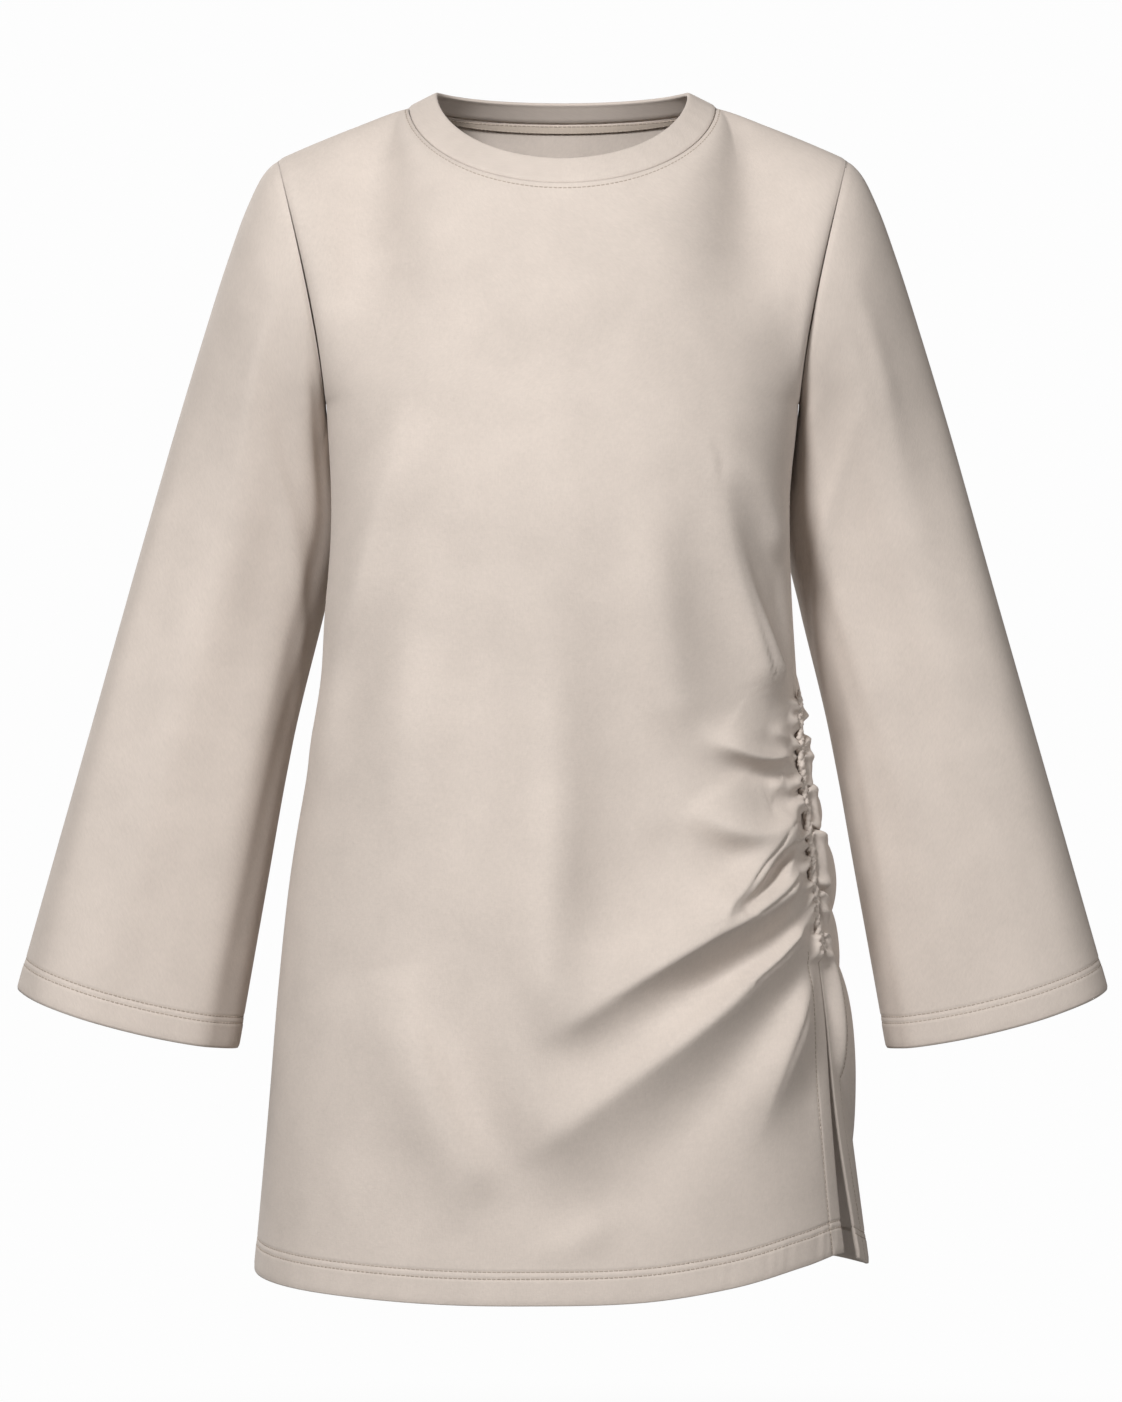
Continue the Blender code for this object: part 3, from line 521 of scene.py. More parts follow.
def panel_surface(q, level, back):
    """The smooth panel before its folds. Levels are heights up to the underarm,
    and count on from there to 1 at the top. Front and back meet on the plain side
    and stand a gap apart on the gathered side."""
    height = np.minimum(level, UNDERARM)
    rise = np.clip((level - UNDERARM) / (1.0 - UNDERARM), 0, 1)
    gap = math.degrees(SEAM_GAP / 2 / MEAN_RADIUS)
    front_end = read(SIDE_EDGES, "height", "front", height)
    back_end = read(SIDE_EDGES, "height", "back", height)
    if back:
        first, last = back_end + gap, 270
    else:
        first, last = -90, front_end - gap
    angle = first + (last - first) * q
    hem = read(HEM_LINE, "angle", "height", angle)
    z = UNDERARM + (hem - UNDERARM) * (UNDERARM - height) / (UNDERARM - HEM)
    skirt = body_point(angle, z)
    s = 1 - 2 * q if back else 2 * q - 1
    above = yoke(s, rise, back)
    return np.where((rise > 0)[..., None], above, skirt)


def eased(plain, columns, rise):
    """Softens the yoke across, so that no ridge hangs from the shoulder's inner end."""
    q = columns[0]
    near = ridge(q[:, None] - q[None, :], YOKE_BLUR) * np.gradient(q)[None, :]
    near /= near.sum(1, keepdims=True)
    soft = np.einsum("ij,rjk->rik", near, plain)
    share = smooth(rise / 0.2) * smooth((1 - rise) / 0.34)
    share = share * smooth(np.minimum(columns, 1 - columns) / 0.10)
    return plain + (soft - plain) * share[..., None]


# ---- folds and gathers


def seen_from_camera(grid):
    """Where the camera sees each point, across and up, in millimetres."""
    near = CAMERA_DISTANCE / (CAMERA_DISTANCE + grid[..., 1])
    across = (grid[..., 0] - CAMERA_SIDE) * near + CAMERA_SIDE
    up = (grid[..., 2] - CAMERA_HEIGHT) * near + CAMERA_HEIGHT
    return across * 1000, up * 1000


def nearest(x, z, line):
    """Distance from a line, positive below it, and how far along it that is."""
    legs = line[1:] - line[:-1]
    far = np.full(x.shape, 1e9)
    signed = np.zeros(x.shape)
    along = np.zeros(x.shape)
    for i, leg in enumerate(legs):
        dx, dz = x - line[i, 0], z - line[i, 1]
        part = np.clip((dx * leg[0] + dz * leg[1]) / (leg @ leg), 0, 1)
        ox, oz = dx - part * leg[0], dz - part * leg[1]
        here = np.hypot(ox, oz)
        closer = here < far
        far = np.where(closer, here, far)
        signed = np.where(closer, np.sign(leg[0] * oz - leg[1] * ox) * here, signed)
        along = np.where(closer, (i + part) / len(legs), along)
    return signed, along


def fold_line(run, steps=30):
    """A smooth line through a fold's points."""
    run = np.array(run, float)
    at = np.concatenate([[0], np.cumsum(np.linalg.norm(np.diff(run, axis=0), axis=1))])
    places = np.linspace(0, at[-1], steps + 1)
    return np.stack([through(at, run[:, 0], places), through(at, run[:, 1], places)], axis=1)


def folds(x, z, table):
    """The height of all folds of a table at each place, in metres."""
    total = np.zeros_like(x)
    for fold in table:
        line = fold_line(fold.run)
        reach = max(3.0 * max(fold.gentle), 6.5 * max(fold.steep))
        low, high = line.min(0) - reach, line.max(0) + reach
        near = (x > low[0]) & (x < high[0]) & (z > low[1]) & (z < high[1])
        if not near.any():
            continue
        away, along = nearest(x[near], z[near], line)
        gentle = fold.gentle[0] + (fold.gentle[1] - fold.gentle[0]) * smooth(along / 0.8)
        steep = fold.steep[0] + (fold.steep[1] - fold.steep[0]) * along**0.9
        sharp = 2.0 - 0.9 * (fold.crisp[0] + (fold.crisp[1] - fold.crisp[0]) * smooth(along / 0.9))
        upper = np.exp(-((-np.minimum(away, 0) / gentle) ** (0.9 + 0.55 * sharp)))
        lower = np.exp(-((np.maximum(away, 0) / steep) ** sharp))
        trough = fold.trough * ridge(away - 2.2 * steep, 1.3 * steep)
        heights = np.array([fold.start, fold.middle, fold.end], float)
        stand = through(np.array([0, FOLD_MIDDLE, 1.0]), heights, along)
        fade = smooth((1 - along) / (0.20 if fold.end else 0.55))
        shape = np.where(away < 0, upper, lower) * stand
        shape = shape - trough * stand / max(fold.start, fold.middle)
        total[near] += shape * fade / 1000
    return total


def billows(away, z):
    """Round lobes of the back between its tucks, highest a little off the seam."""
    away, z = away * 1000, z * 1000
    total = np.zeros_like(away)
    for billow in BILLOWS:
        top = billow.top - billow.top_drop * away
        foot = billow.foot - billow.foot_drop * away
        part = np.clip((z - foot) / np.maximum(top - foot, 4.0), 0, 1)
        round_top = np.clip(1 - np.abs(2 * part - 1) ** 2.3, 0, 1) ** 0.75
        fade = smooth((away + 3) / 13) * smooth((billow.reach - away) / (0.9 * billow.reach))
        total += billow.high * round_top * fade
    return total / 1000


def puckers(away, z, table):
    """Short puckers that fan out from the gathered seam, and the tucks between them."""
    away, z = away * 1000, z * 1000
    total = np.zeros_like(away)
    for i, pucker in enumerate(table):
        lean = math.radians(pucker.lean)
        bend = 0.012 * math.sin(2.1 * i + 0.4)
        along = away * math.cos(lean) - (z - pucker.at) * math.sin(lean)
        across = away * math.sin(lean) + (z - pucker.at) * math.cos(lean) + bend * along**2 / 4
        wide = 2.0 + 2.4 * np.clip(along / pucker.long, 0, 1)
        upper = ridge(np.maximum(across, 0), 1.3 * wide)
        lower = np.exp(-((np.maximum(-across, 0) / (0.8 * wide)) ** 1.5))
        fade = smooth((1.15 * pucker.long - along) / (0.7 * pucker.long))
        fade = fade * smooth((along + 1) / 3.0)
        total += 1.5 * pucker.high * np.where(across > 0, upper, lower) * fade
    tuck = np.sin(z * 0.95 + 1.3 * np.sin(z * 0.23)) * (0.7 + 0.3 * np.sin(z * 0.21 + 1))
    beside = smooth((away - 1.0) / 1.5) * smooth((11 - away) / 7.0)
    inside = smooth((z - 1000 * GATHER_BOTTOM + 4) / 6) * smooth((1000 * GATHER_TOP - z) / 6)
    return (total + 1.4 * tuck * beside) * inside / 1000


def panel_levels():
    """Row levels of a panel, from its hem to its top edge."""
    low = [HEM + part for part in spaced(SKIRT_ROWS)]
    for end, step in ((-0.600, STEP_BELOW), (-0.400, STEP_GATHERED), (UNDERARM, STEP_ABOVE)):
        count = round((end - low[-1]) / step)
        low += list(np.linspace(low[-1], end, count + 1)[1:])
    rise = spaced(YOKE_ROWS)[1:]
    return np.array(low + list(UNDERARM + (1.0 - UNDERARM) * rise))


def row_at(level):
    """The number of the row nearest to a level."""
    return int(np.argmin(np.abs(panel_levels() - level)))


def hem_rows():
    """How far the twin rows of a hem lie from its edge."""
    twin = bpy.context.scene.tunic_form.twin
    return HEM_ROW - twin / 2, HEM_ROW + twin / 2


def turned_hem(up, swell):
    """The height that a hem's doubled cloth and its stitches give, and its thickness."""
    high = (TURNED_RISE + swell) * smooth((0.021 - up) / 0.004) * smooth(up / 0.003)
    for row in hem_rows():
        high = high - HEM_GROOVE * ridge(up - row, GROOVE_WIDE)
    thick = bpy.context.scene.tunic_form.cloth + TURNED_CLOTH * smooth((HEM_TURN - up) / 0.0015)
    return high, thick


@functools.lru_cache(maxsize=None)
def panel_layers(back):
    """The outer and inner points of a panel, rows from the hem up, and its distances."""
    columns, rows = np.meshgrid(spaced(BACK_COLUMNS if back else FRONT_COLUMNS), panel_levels())
    plain = panel_surface(columns, rows, back)
    rise = np.clip((rows - UNDERARM) / (1.0 - UNDERARM), 0, 1)
    plain = eased(plain, columns, rise)
    outward = normals(plain)
    run = run_length(plain, 1)
    away = run if back else run[:, -1:] - run
    plain_away = run[:, -1:] - run if back else run

    # Drapes, held down at the seams, at the top and a little at the hem
    held = smooth((away - 0.0020) / (0.012 if back else 0.034)) * smooth(plain_away / 0.030)
    held = held * smooth((1 - rise) / 0.35) * (0.55 + 0.45 * smooth((rows - HEM) / 0.070))
    if back:
        relief = folds(away * 1000, plain[..., 2] * 1000, BACK_FOLDS)
        relief = (relief + billows(away, plain[..., 2])) * held
    else:
        relief = np.zeros_like(away)
        for _ in range(3):
            x, z = seen_from_camera(plain + outward * relief[..., None])
            relief = folds(x, z, FRONT_FOLDS) * held
    draped = plain + outward * relief[..., None]
    facing = normals(draped)
    facing[:, 0], facing[:, -1], facing[-1] = outward[:, 0], outward[:, -1], outward[-1]

    # Puckers, then the dip of each seam
    fine = puckers(away, plain[..., 2], BACK_PUCKERS if back else FRONT_PUCKERS)
    fine = fine * bpy.context.scene.tunic_form.gathers * smooth((away - 0.0006) / 0.0028)
    up = run_length(plain, 0)
    edge = np.minimum(np.where(rise > 0, np.minimum(away, plain_away), 1.0), up[-1:] - up)
    side = np.where(rise > 0, 1.0, plain_away)
    low = np.where((rows > GATHER_BOTTOM) & (rise <= 0), away, 1.0)
    at_neck = (np.abs(plain[..., 0]) < NECK_HALF) & (rise > 0.5)
    fine = fine - np.where(at_neck, NECK_DIP, EDGE_DIP) * ridge(edge, EDGE_DIP_WIDE)
    fine = fine - SIDE_DIP * ridge(np.minimum(side, low), SIDE_DIP_WIDE)

    # The hem and the slit, both turned in and sewn
    swell = 0.00012 * (np.sin(run * 560 + 1.7 * np.sin(run * 130)) + np.sin(run * 290 + 1))
    high, thick = turned_hem(up, swell)
    slit = np.where(rows < GATHER_BOTTOM, away, 1.0)
    fine = fine + high + TURNED_RISE * smooth((SLIT_TURN - slit) / 0.002)
    fine = fine - SLIT_GROOVE * ridge(slit - SLIT_ROW, GROOVE_WIDE)
    thick = thick + 0.6 * TURNED_CLOTH * smooth((SLIT_TURN - slit) / 0.0015) * (up > HEM_TURN)
    worn = WORN_ROUND * ridge(np.minimum(up, slit), WORN_WIDE)
    outer = draped + facing * (fine - worn)[..., None]
    inner = draped + facing * (worn - thick)[..., None]
    return outer, hold_seams(outer, inner, rise), run, up


def hold_seams(outer, inner, rise):
    """Keeps the inner edge of each seam on its own side of the seam."""
    inner = inner.copy()
    on_shoulder = np.abs(outer[-1, :, 0]) > NECK_HALF - 1e-6
    inner[-1, on_shoulder, 1] = outer[-1, on_shoulder, 1]
    for column in (0, -1):
        side = np.sign(outer[:, column, 0])
        at_armhole = rise[:, column] > 0
        reach = np.minimum(inner[:, column, 0] * side, outer[:, column, 0] * side)
        inner[at_armhole, column, 0] = (reach * side)[at_armhole]
    return inner


@functools.lru_cache(maxsize=None)
def sleeve_layers(side):
    """Outer and inner points of a sleeve, rows from armhole to cuff."""
    turns = np.linspace(0, 2 * math.pi, SLEEVE_COLUMNS, endpoint=False)
    hem = [np.linspace(0.958, 0.980, 16), [0.985, 0.991, 0.997, 1.0]]
    along = np.concatenate([spaced(((0, 0.02, 8), (0.02, 0.94, 92))), [0.948, 0.954], *hem])
    turn, t = np.meshgrid(turns, along)
    outer_x, outer_z, inner_x, inner_z, shift, depth = (
        read(SLEEVE_RINGS, "along", column, t) for column in SleeveRing._fields[1:]
    )
    share = (1 + np.cos(turn)) / 2
    curve = (SHOULDER_HALF - SLEEVE_RINGS[0].inner_x) * (share**1.4 - share)
    x = (outer_x + inner_x) / 2 + (outer_x - inner_x) / 2 * np.cos(turn)
    z = (outer_z + inner_z) / 2 + (outer_z - inner_z) / 2 * np.cos(turn)
    sag = CUFF_SAG * np.sin(turn) ** 2 * smooth((t - 0.7) / 0.3)
    x = x + curve * (1 - smooth(t / 0.12)) + 0.28 * sag + SEAM_GAP
    grid = points(x, shift - depth * np.sin(turn), z - 0.96 * sag)
    ring = np.roll(grid, -1, axis=1) - np.roll(grid, 1, axis=1)
    facing = unit(np.cross(ring, np.gradient(grid, axis=0)))
    relief = np.zeros_like(t)
    degrees = np.degrees(turn)
    for i, fold in enumerate(SLEEVE_FOLDS):
        wave = 5 * np.sin(5 * t + 1.9 * i + side)
        centre = fold.top + (fold.cuff - fold.top) * t + wave
        off = (degrees - centre + 180) % 360 - 180
        spread = np.where(off < 0, fold.gentle, fold.steep)
        ends = smooth((t - fold.start) / 0.25) * smooth((fold.end - t) / 0.35)
        relief += fold.height / 1000 * ridge(off, spread) * ends
    down = run_length(grid, 0)
    up = down[-1:] - down
    swell = 0.00014 * np.sin(degrees * 1.05 * math.pi + 2 * np.sin(degrees / 11))
    high, thick = turned_hem(up, swell)
    worn = WORN_ROUND * ridge(up, WORN_WIDE)
    fine = high - SLEEVE_DIP * ridge(down, SIDE_DIP_WIDE)
    outer = grid + facing * (relief + fine - worn)[..., None]
    facing[0] = points(0 * turns, -np.sin(turns), np.cos(turns))
    inner = grid + facing * (relief - thick + worn)[..., None]
    around = run_length(closed(grid), 1)[:, :-1]
    flip = np.array([side, 1.0, 1.0])
    return outer * flip, inner * flip, around, down


# ---- meshes


def add_object(name, data):
    obj = bpy.data.objects.new(name, data)
    bpy.context.scene.collection.objects.link(obj)
    return obj


def make_object(name, verts, faces, uv):
    """A smooth mesh with the cloth's own lengths as its UV, one for each vertex."""
    mesh = bpy.data.meshes.new(name)
    mesh.from_pydata(verts, [], faces)
    mesh.update()
    layer = mesh.uv_layers.new(name="cloth")
    corners = np.zeros(len(mesh.loops), int)
    mesh.loops.foreach_get("vertex_index", corners)
    layer.data.foreach_set("uv", uv[corners].ravel())
    mesh.shade_smooth()
    return add_object(name, mesh)


def sheet_object(name, outer, inner, run, up, ring=False, flip=False):
    """A closed cloth wall between two grids. A ring's rows close on themselves."""
    rows, columns = outer.shape[:2]
    verts = np.concatenate([outer.reshape(-1, 3), inner.reshape(-1, 3)])
    uv = np.stack([run, up], axis=-1).reshape(-1, 2)
    uv = np.concatenate([uv, uv + 0.37])
    inside = rows * columns
    index = np.arange(inside).reshape(rows, columns)
    if ring:
        index = closed(index)
    faces = quads(index)
    faces = np.concatenate([faces, faces[:, ::-1] + inside])
    rims = [index[0], index[-1][::-1]]
    if not ring:
        rims += [index[:, -1], index[:, 0][::-1]]
    for rim in rims:
        here, following = rim[:-1], rim[1:]
        edge = np.stack([following, here, here + inside, following + inside], axis=1)
        faces = np.concatenate([faces, edge])
    if flip:
        faces = faces[:, ::-1]
    return make_object(name, verts.tolist(), faces.tolist(), uv)


def ring_object(name, loops):
    """A closed ring: loops of equal length run the long way, in order round the section."""
    grid = np.array(loops)
    index = closed(np.arange(grid[..., 0].size).reshape(grid.shape[:2]))
    faces = quads(np.concatenate([index, index[:1]]))
    run = run_length(closed(grid), 1)[:, :-1]
    across = np.cumsum(np.linalg.norm(np.diff(grid, axis=0, prepend=grid[:1]), axis=-1), axis=0)
    uv = np.stack([run, across], axis=-1).reshape(-1, 2)
    return make_object(name, grid.reshape(-1, 3).tolist(), faces.tolist(), uv)


def dress(obj, look, node=None):
    """Gives a piece its finish and its place in the record, and hides the solid that it stands
    for.
    """
    obj.data.materials.append(finish(look))
    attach(obj, "root")
    if node:
        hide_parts(node)


# ---- finishes


def new_group(name, inputs, outputs):
    group = bpy.data.node_groups.new(name, "ShaderNodeTree")
    for label, kind, value in inputs:
        socket = group.interface.new_socket(label, in_out="INPUT", socket_type=kind)
        if value is not None:
            socket.default_value = value
    for label, kind in outputs:
        group.interface.new_socket(label, in_out="OUTPUT", socket_type=kind)
    return group, group.nodes.new("NodeGroupInput"), group.nodes.new("NodeGroupOutput")


def connect(tree, made, inputs):
    """Links or sets inputs of a node, which are named or numbered."""
    for place, value in dict(inputs).items():
        if isinstance(value, bpy.types.NodeSocket):
            tree.links.new(value, made.inputs[place])
        else:
            made.inputs[place].default_value = value


def add_node(tree, kind, inputs=(), **settings):
    made = tree.nodes.new("ShaderNode" + kind)
    for setting, value in settings.items():
        setattr(made, setting, value)
    connect(tree, made, inputs)
    return made


def noise(tree, place, scale, detail, rough):
    inputs = {"Vector": place, "Scale": scale, "Detail": detail, "Roughness": rough}
    return add_node(tree, "TexNoise", inputs).outputs["Fac"]


def maths(tree, operation, *terms):
    return add_node(tree, "Math", enumerate(terms), operation=operation).outputs[0]


def brushed_nap_group():
    """Nap of brushed knit: faint streaks both ways, soft patches, and a height."""
    group, into, out = new_group(
        "brushed_nap",
        (("Along", "NodeSocketVector", None), ("Place", "NodeSocketVector", None),
         ("Colour", "NodeSocketColor", (0.6, 0.53, 0.46, 1.0)),
         ("Contrast", "NodeSocketFloat", 1.0)),
        (("Colour", "NodeSocketColor"), ("Height", "NodeSocketFloat"),
         ("Roughness", "NodeSocketFloat")),
    )
    given = into.outputs
    grains = []
    for stretch, scale, weight in (
        ((1.0, 0.34, 1.0), 900.0, 0.40), ((0.34, 1.0, 1.0), 820.0, 0.26),
        ((1.0, 1.0, 1.0), 300.0, 0.34),
    ):
        place = add_node(group, "Mapping", {"Vector": given["Along"], "Scale": stretch})
        grain = noise(group, place.outputs["Vector"], scale, 3.0, 0.6)
        grains.append(maths(group, "MULTIPLY", grain, weight))
    height = maths(group, "ADD", maths(group, "ADD", grains[0], grains[1]), grains[2])
    patch = noise(group, given["Place"], 26.0, 5.0, 0.62)
    fine = maths(group, "MULTIPLY_ADD", height, 0.34, -0.17)
    broad = maths(group, "MULTIPLY_ADD", patch, 0.22, -0.11)
    change = maths(group, "MULTIPLY", maths(group, "ADD", fine, broad), given["Contrast"])
    tone = {0: given["Colour"], "Scale": maths(group, "ADD", change, 1.0)}
    connect(group, out, {
        "Colour": add_node(group, "VectorMath", tone, operation="SCALE").outputs[0],
        "Height": height,
        "Roughness": maths(group, "MULTIPLY_ADD", patch, 0.10, 0.84),
    })
    return group


def new_material(name):
    material = bpy.data.materials.new(name)
    material.use_nodes = True
    return material, material.node_tree


def cloth_material(name, colour, contrast, sheen, relief):
    """Matt brushed knit of one colour, on the shared nap."""
    group = bpy.data.node_groups.get("brushed_nap") or brushed_nap_group()
    material, tree = new_material(name)
    nap = add_node(tree, "Group", node_tree=group)
    connect(tree, nap, {
        "Place": add_node(tree, "TexCoord").outputs["Object"],
        "Along": add_node(tree, "UVMap", uv_map="cloth").outputs["UV"],
        "Colour": (*colour, 1.0),
        "Contrast": contrast,
    })
    height = nap.outputs["Height"]
    bump = add_node(tree, "Bump", {"Strength": 1.0, "Distance": relief, "Height": height})
    connect(tree, tree.nodes["Principled BSDF"], {
        "Base Color": nap.outputs["Colour"],
        "Roughness": nap.outputs["Roughness"],
        "Normal": bump.outputs["Normal"],
        "Metallic": 0.0,
        "Specular IOR Level": 0.25,
        "Sheen Weight": sheen,
        "Sheen Roughness": 0.55,
    })
    return material


def finish(name):
    """A finish of the tunic, made the first time that it is asked for."""
    colours = bpy.context.scene.tunic_colours
    looks = {
        "brushed_knit_cloth": (colours.knit, 1.0, 0.10, 0.00022),
        "neck_tape_cloth": (colours.tape, 0.8, 0.05, 0.00018),
        # The thread's colour is partly painted shade: darker than the light thread, for the shadow
        # between stitches
        "thread": (colours.thread, 0.4, 0.05, 0.00010),
    }
    return bpy.data.materials.get(name) or cloth_material(name, *looks[name])


# ---- stitching


def seed_stitch():
    """One small thread, laid along X, modelled once and copied."""
    form = bpy.context.scene.tunic_form
    bpy.ops.object.select_all(action="DESELECT")
    bpy.ops.mesh.primitive_cylinder_add(
        vertices=6, radius=form.thread / 2, depth=STITCH_SHARE * form.pitch,
        end_fill_type="TRIFAN", rotation=(0, math.radians(90), 0),
    )
    stitch = bpy.context.object
    bpy.ops.object.transform_apply(location=False, rotation=True, scale=False)
    for vert in stitch.data.vertices:
        at_tip = math.hypot(vert.co.y, vert.co.z) < 1e-6
        vert.co.x *= STITCH_TIP if at_tip else STITCH_SHOULDER
    return stitch


def sampled(curve, at, places):
    """A curve's values at places along it."""
    return np.stack([np.interp(places, at, curve[:, i]) for i in range(3)], axis=1)


def stitches(name, rows):
    """Copies of one thread along rows. Each row has points and outward directions."""
    pitch = bpy.context.scene.tunic_form.pitch
    seed = seed_stitch()
    verts = np.array([v.co for v in seed.data.vertices])
    faces = [list(p.vertices) for p in seed.data.polygons]
    bpy.data.objects.remove(seed)
    all_verts, all_faces = [], []
    rng = np.random.default_rng(7)
    for line, outward in rows:
        at = run_length(line[None], 1)[0]
        count = int(at[-1] / pitch)
        places = (np.arange(count) + 0.5) * at[-1] / count
        spots = sampled(line, at, places)
        way = unit(sampled(line, at, places + STITCH_STEP) - spots)
        up = unit(sampled(outward, at, places))
        side = unit(np.cross(up, way))
        tilt = rng.normal(0, STITCH_TILT, count)[:, None]
        way, side = unit(way + side * tilt), unit(side - way * tilt)
        for spot, x, y, z in zip(spots, way, side, up):
            base = len(all_verts)
            placed = spot + verts[:, :1] * x + verts[:, 1:2] * y + verts[:, 2:] * z * STITCH_FLAT
            all_verts += placed.tolist()
            all_faces += [[base + i for i in face] for face in faces]
    made = make_object(name, all_verts, all_faces, np.zeros((len(all_verts), 2)))
    dress(made, "thread")


def line_at(outer, distance, at, rows=None):
    """The line on a grid where each of its columns, or of some rows, is at one distance."""
    facing = normals(outer)
    if rows:
        outer, facing = outer[rows].swapaxes(0, 1), facing[rows].swapaxes(0, 1)
        distance = distance[rows].T
    line, out = [], []
    for c in range(outer.shape[1]):
        order = np.argsort(distance[:, c], kind="stable")
        for made, grid in ((line, outer), (out, facing)):
            made.append([np.interp(at, distance[order, c], grid[order, c, i]) for i in range(3)])
    out = unit(np.array(out))
    return np.array(line) + out * STITCH_PROUD, out


# ---- operators


class TUNIC_OT_panels(bpy.types.Operator):
    """Make the front, with its drapes and puckers, and the back, which billows out"""

    bl_idname = "tunic.panels"
    bl_label = "Front and back"

    def execute(self, context):
        for name, node, back, flat, area in (
            ("tunic_front", "front_panel", False, (0.53, 0.92), 0.36),
            ("tunic_back", "back_panel", True, (0.60, 0.94), 0.40),
        ):
            outer, inner, run, up = panel_layers(back)
            outer, inner = outer.copy(), inner.copy()
            for grid in (outer, inner):
                grid[-1, :, 1] += 0.5 * SEAM_GAP * (1 if back else -1)
            panel = sheet_object(name, outer, inner, run, up)
            dress(panel, "brushed_knit_cloth", node)
        return {"FINISHED"}


class TUNIC_OT_sleeves(bpy.types.Operator):
    """Make both flared sleeves, with their long soft folds"""

    bl_idname = "tunic.sleeves"
    bl_label = "Sleeves"

    def execute(self, context):
        for name, node, side in (
            ("tunic_sleeve_plain_side", "sleeve_plain_side", -1.0),
            ("tunic_sleeve_gathered_side", "sleeve_gathered_side", 1.0),
        ):
            outer, inner, around, down = sleeve_layers(side)
            sleeve = sheet_object(name, outer, inner, around, down, ring=True, flip=side < 0)
            dress(sleeve, "brushed_knit_cloth", node)
        return {"FINISHED"}


class TUNIC_OT_neckband(bpy.types.Operator):
    """Make the doubled neckband, with its rounded fold"""

    bl_idname = "tunic.neckband"
    bl_label = "Neckband"

    def execute(self, context):
        angle = np.linspace(0, 360, BAND_COLUMNS, endpoint=False)
        seam, edge = neck_point(NECK_SEAM, angle), neck_point(NECK_EDGE, angle)
        rise = edge - seam
        seam = seam + unit(rise) * SEAM_GAP
        ring = np.roll(seam, -1, axis=0) - np.roll(seam, 1, axis=0)
        facing = unit(np.cross(ring, rise))
        half = BAND_CLOTH / 2
        section = [(-0.01, -0.0008), (0.02, -0.0002), (0.06, 0.0003)]
        section += [(share, BAND_PROUD) for share in (0.14, 0.25, 0.4, 0.55, 0.7, 0.82, 0.90)]
        for bend in np.radians((25, 50, 75, 100, 130, 155)):
            out = -half + (half + BAND_PROUD) * math.cos(bend)
            section.append((0.935 + 0.065 * math.sin(bend), out))
        section += [(share, -BAND_CLOTH) for share in (0.90, 0.75, 0.6, 0.45, 0.3, 0.13)]
        ripple = 0.00012 * np.sin(np.radians(angle) * 47 + 1.5 * np.sin(np.radians(angle) * 9))
        loops = []
        for share, out in section:
            lift = out + ripple * (0.1 < share < 0.9) * (out > 0)
            loops.append(seam + rise * share + facing * np.reshape(lift, (-1, 1)))
        band = ring_object("tunic_neckband", loops)
        dress(band, "brushed_knit_cloth", "neckband")
        return {"FINISHED"}


class TUNIC_OT_neck_tape(bpy.types.Operator):
    """Make the tape that covers the back neck seam inside"""

    bl_idname = "tunic.neck_tape"
    bl_label = "Neck tape"

    def execute(self, context):
        _, inner, run, _ = panel_layers(True)
        keep = np.abs(spaced(BACK_COLUMNS) - 0.5) < NECK_SHARE / 2 - 0.012
        low = row_at(TAPE_LEVEL)
        inner, run = inner[:, keep], run[:, keep]
        facing = normals(inner)[low]
        rows = []
        for share in (0.02, 0.06, 0.25, 0.45, 0.65, 0.82, 0.86):
            row = inner[low] * (1 - share) + inner[-1] * share
            lift = TAPE_CLEAR + 0.0001 * math.sin(math.pi * share)
            rows.append(row + points(0, 0.5 * SEAM_GAP * share, 0) - facing * lift)
        near = np.array(rows)
        far = near - facing * TAPE_CLOTH
        along = np.tile(run[low], (len(rows), 1))
        tape = sheet_object("tunic_neck_tape", near, far, along, run_length(near, 0))
        dress(tape, "neck_tape_cloth", "back_neck_tape")
        sewn = [(far[i] + facing * STITCH_PROUD, -facing) for i in (1, 5)]
        stitches("tape_stitches", sewn)
        return {"FINISHED"}


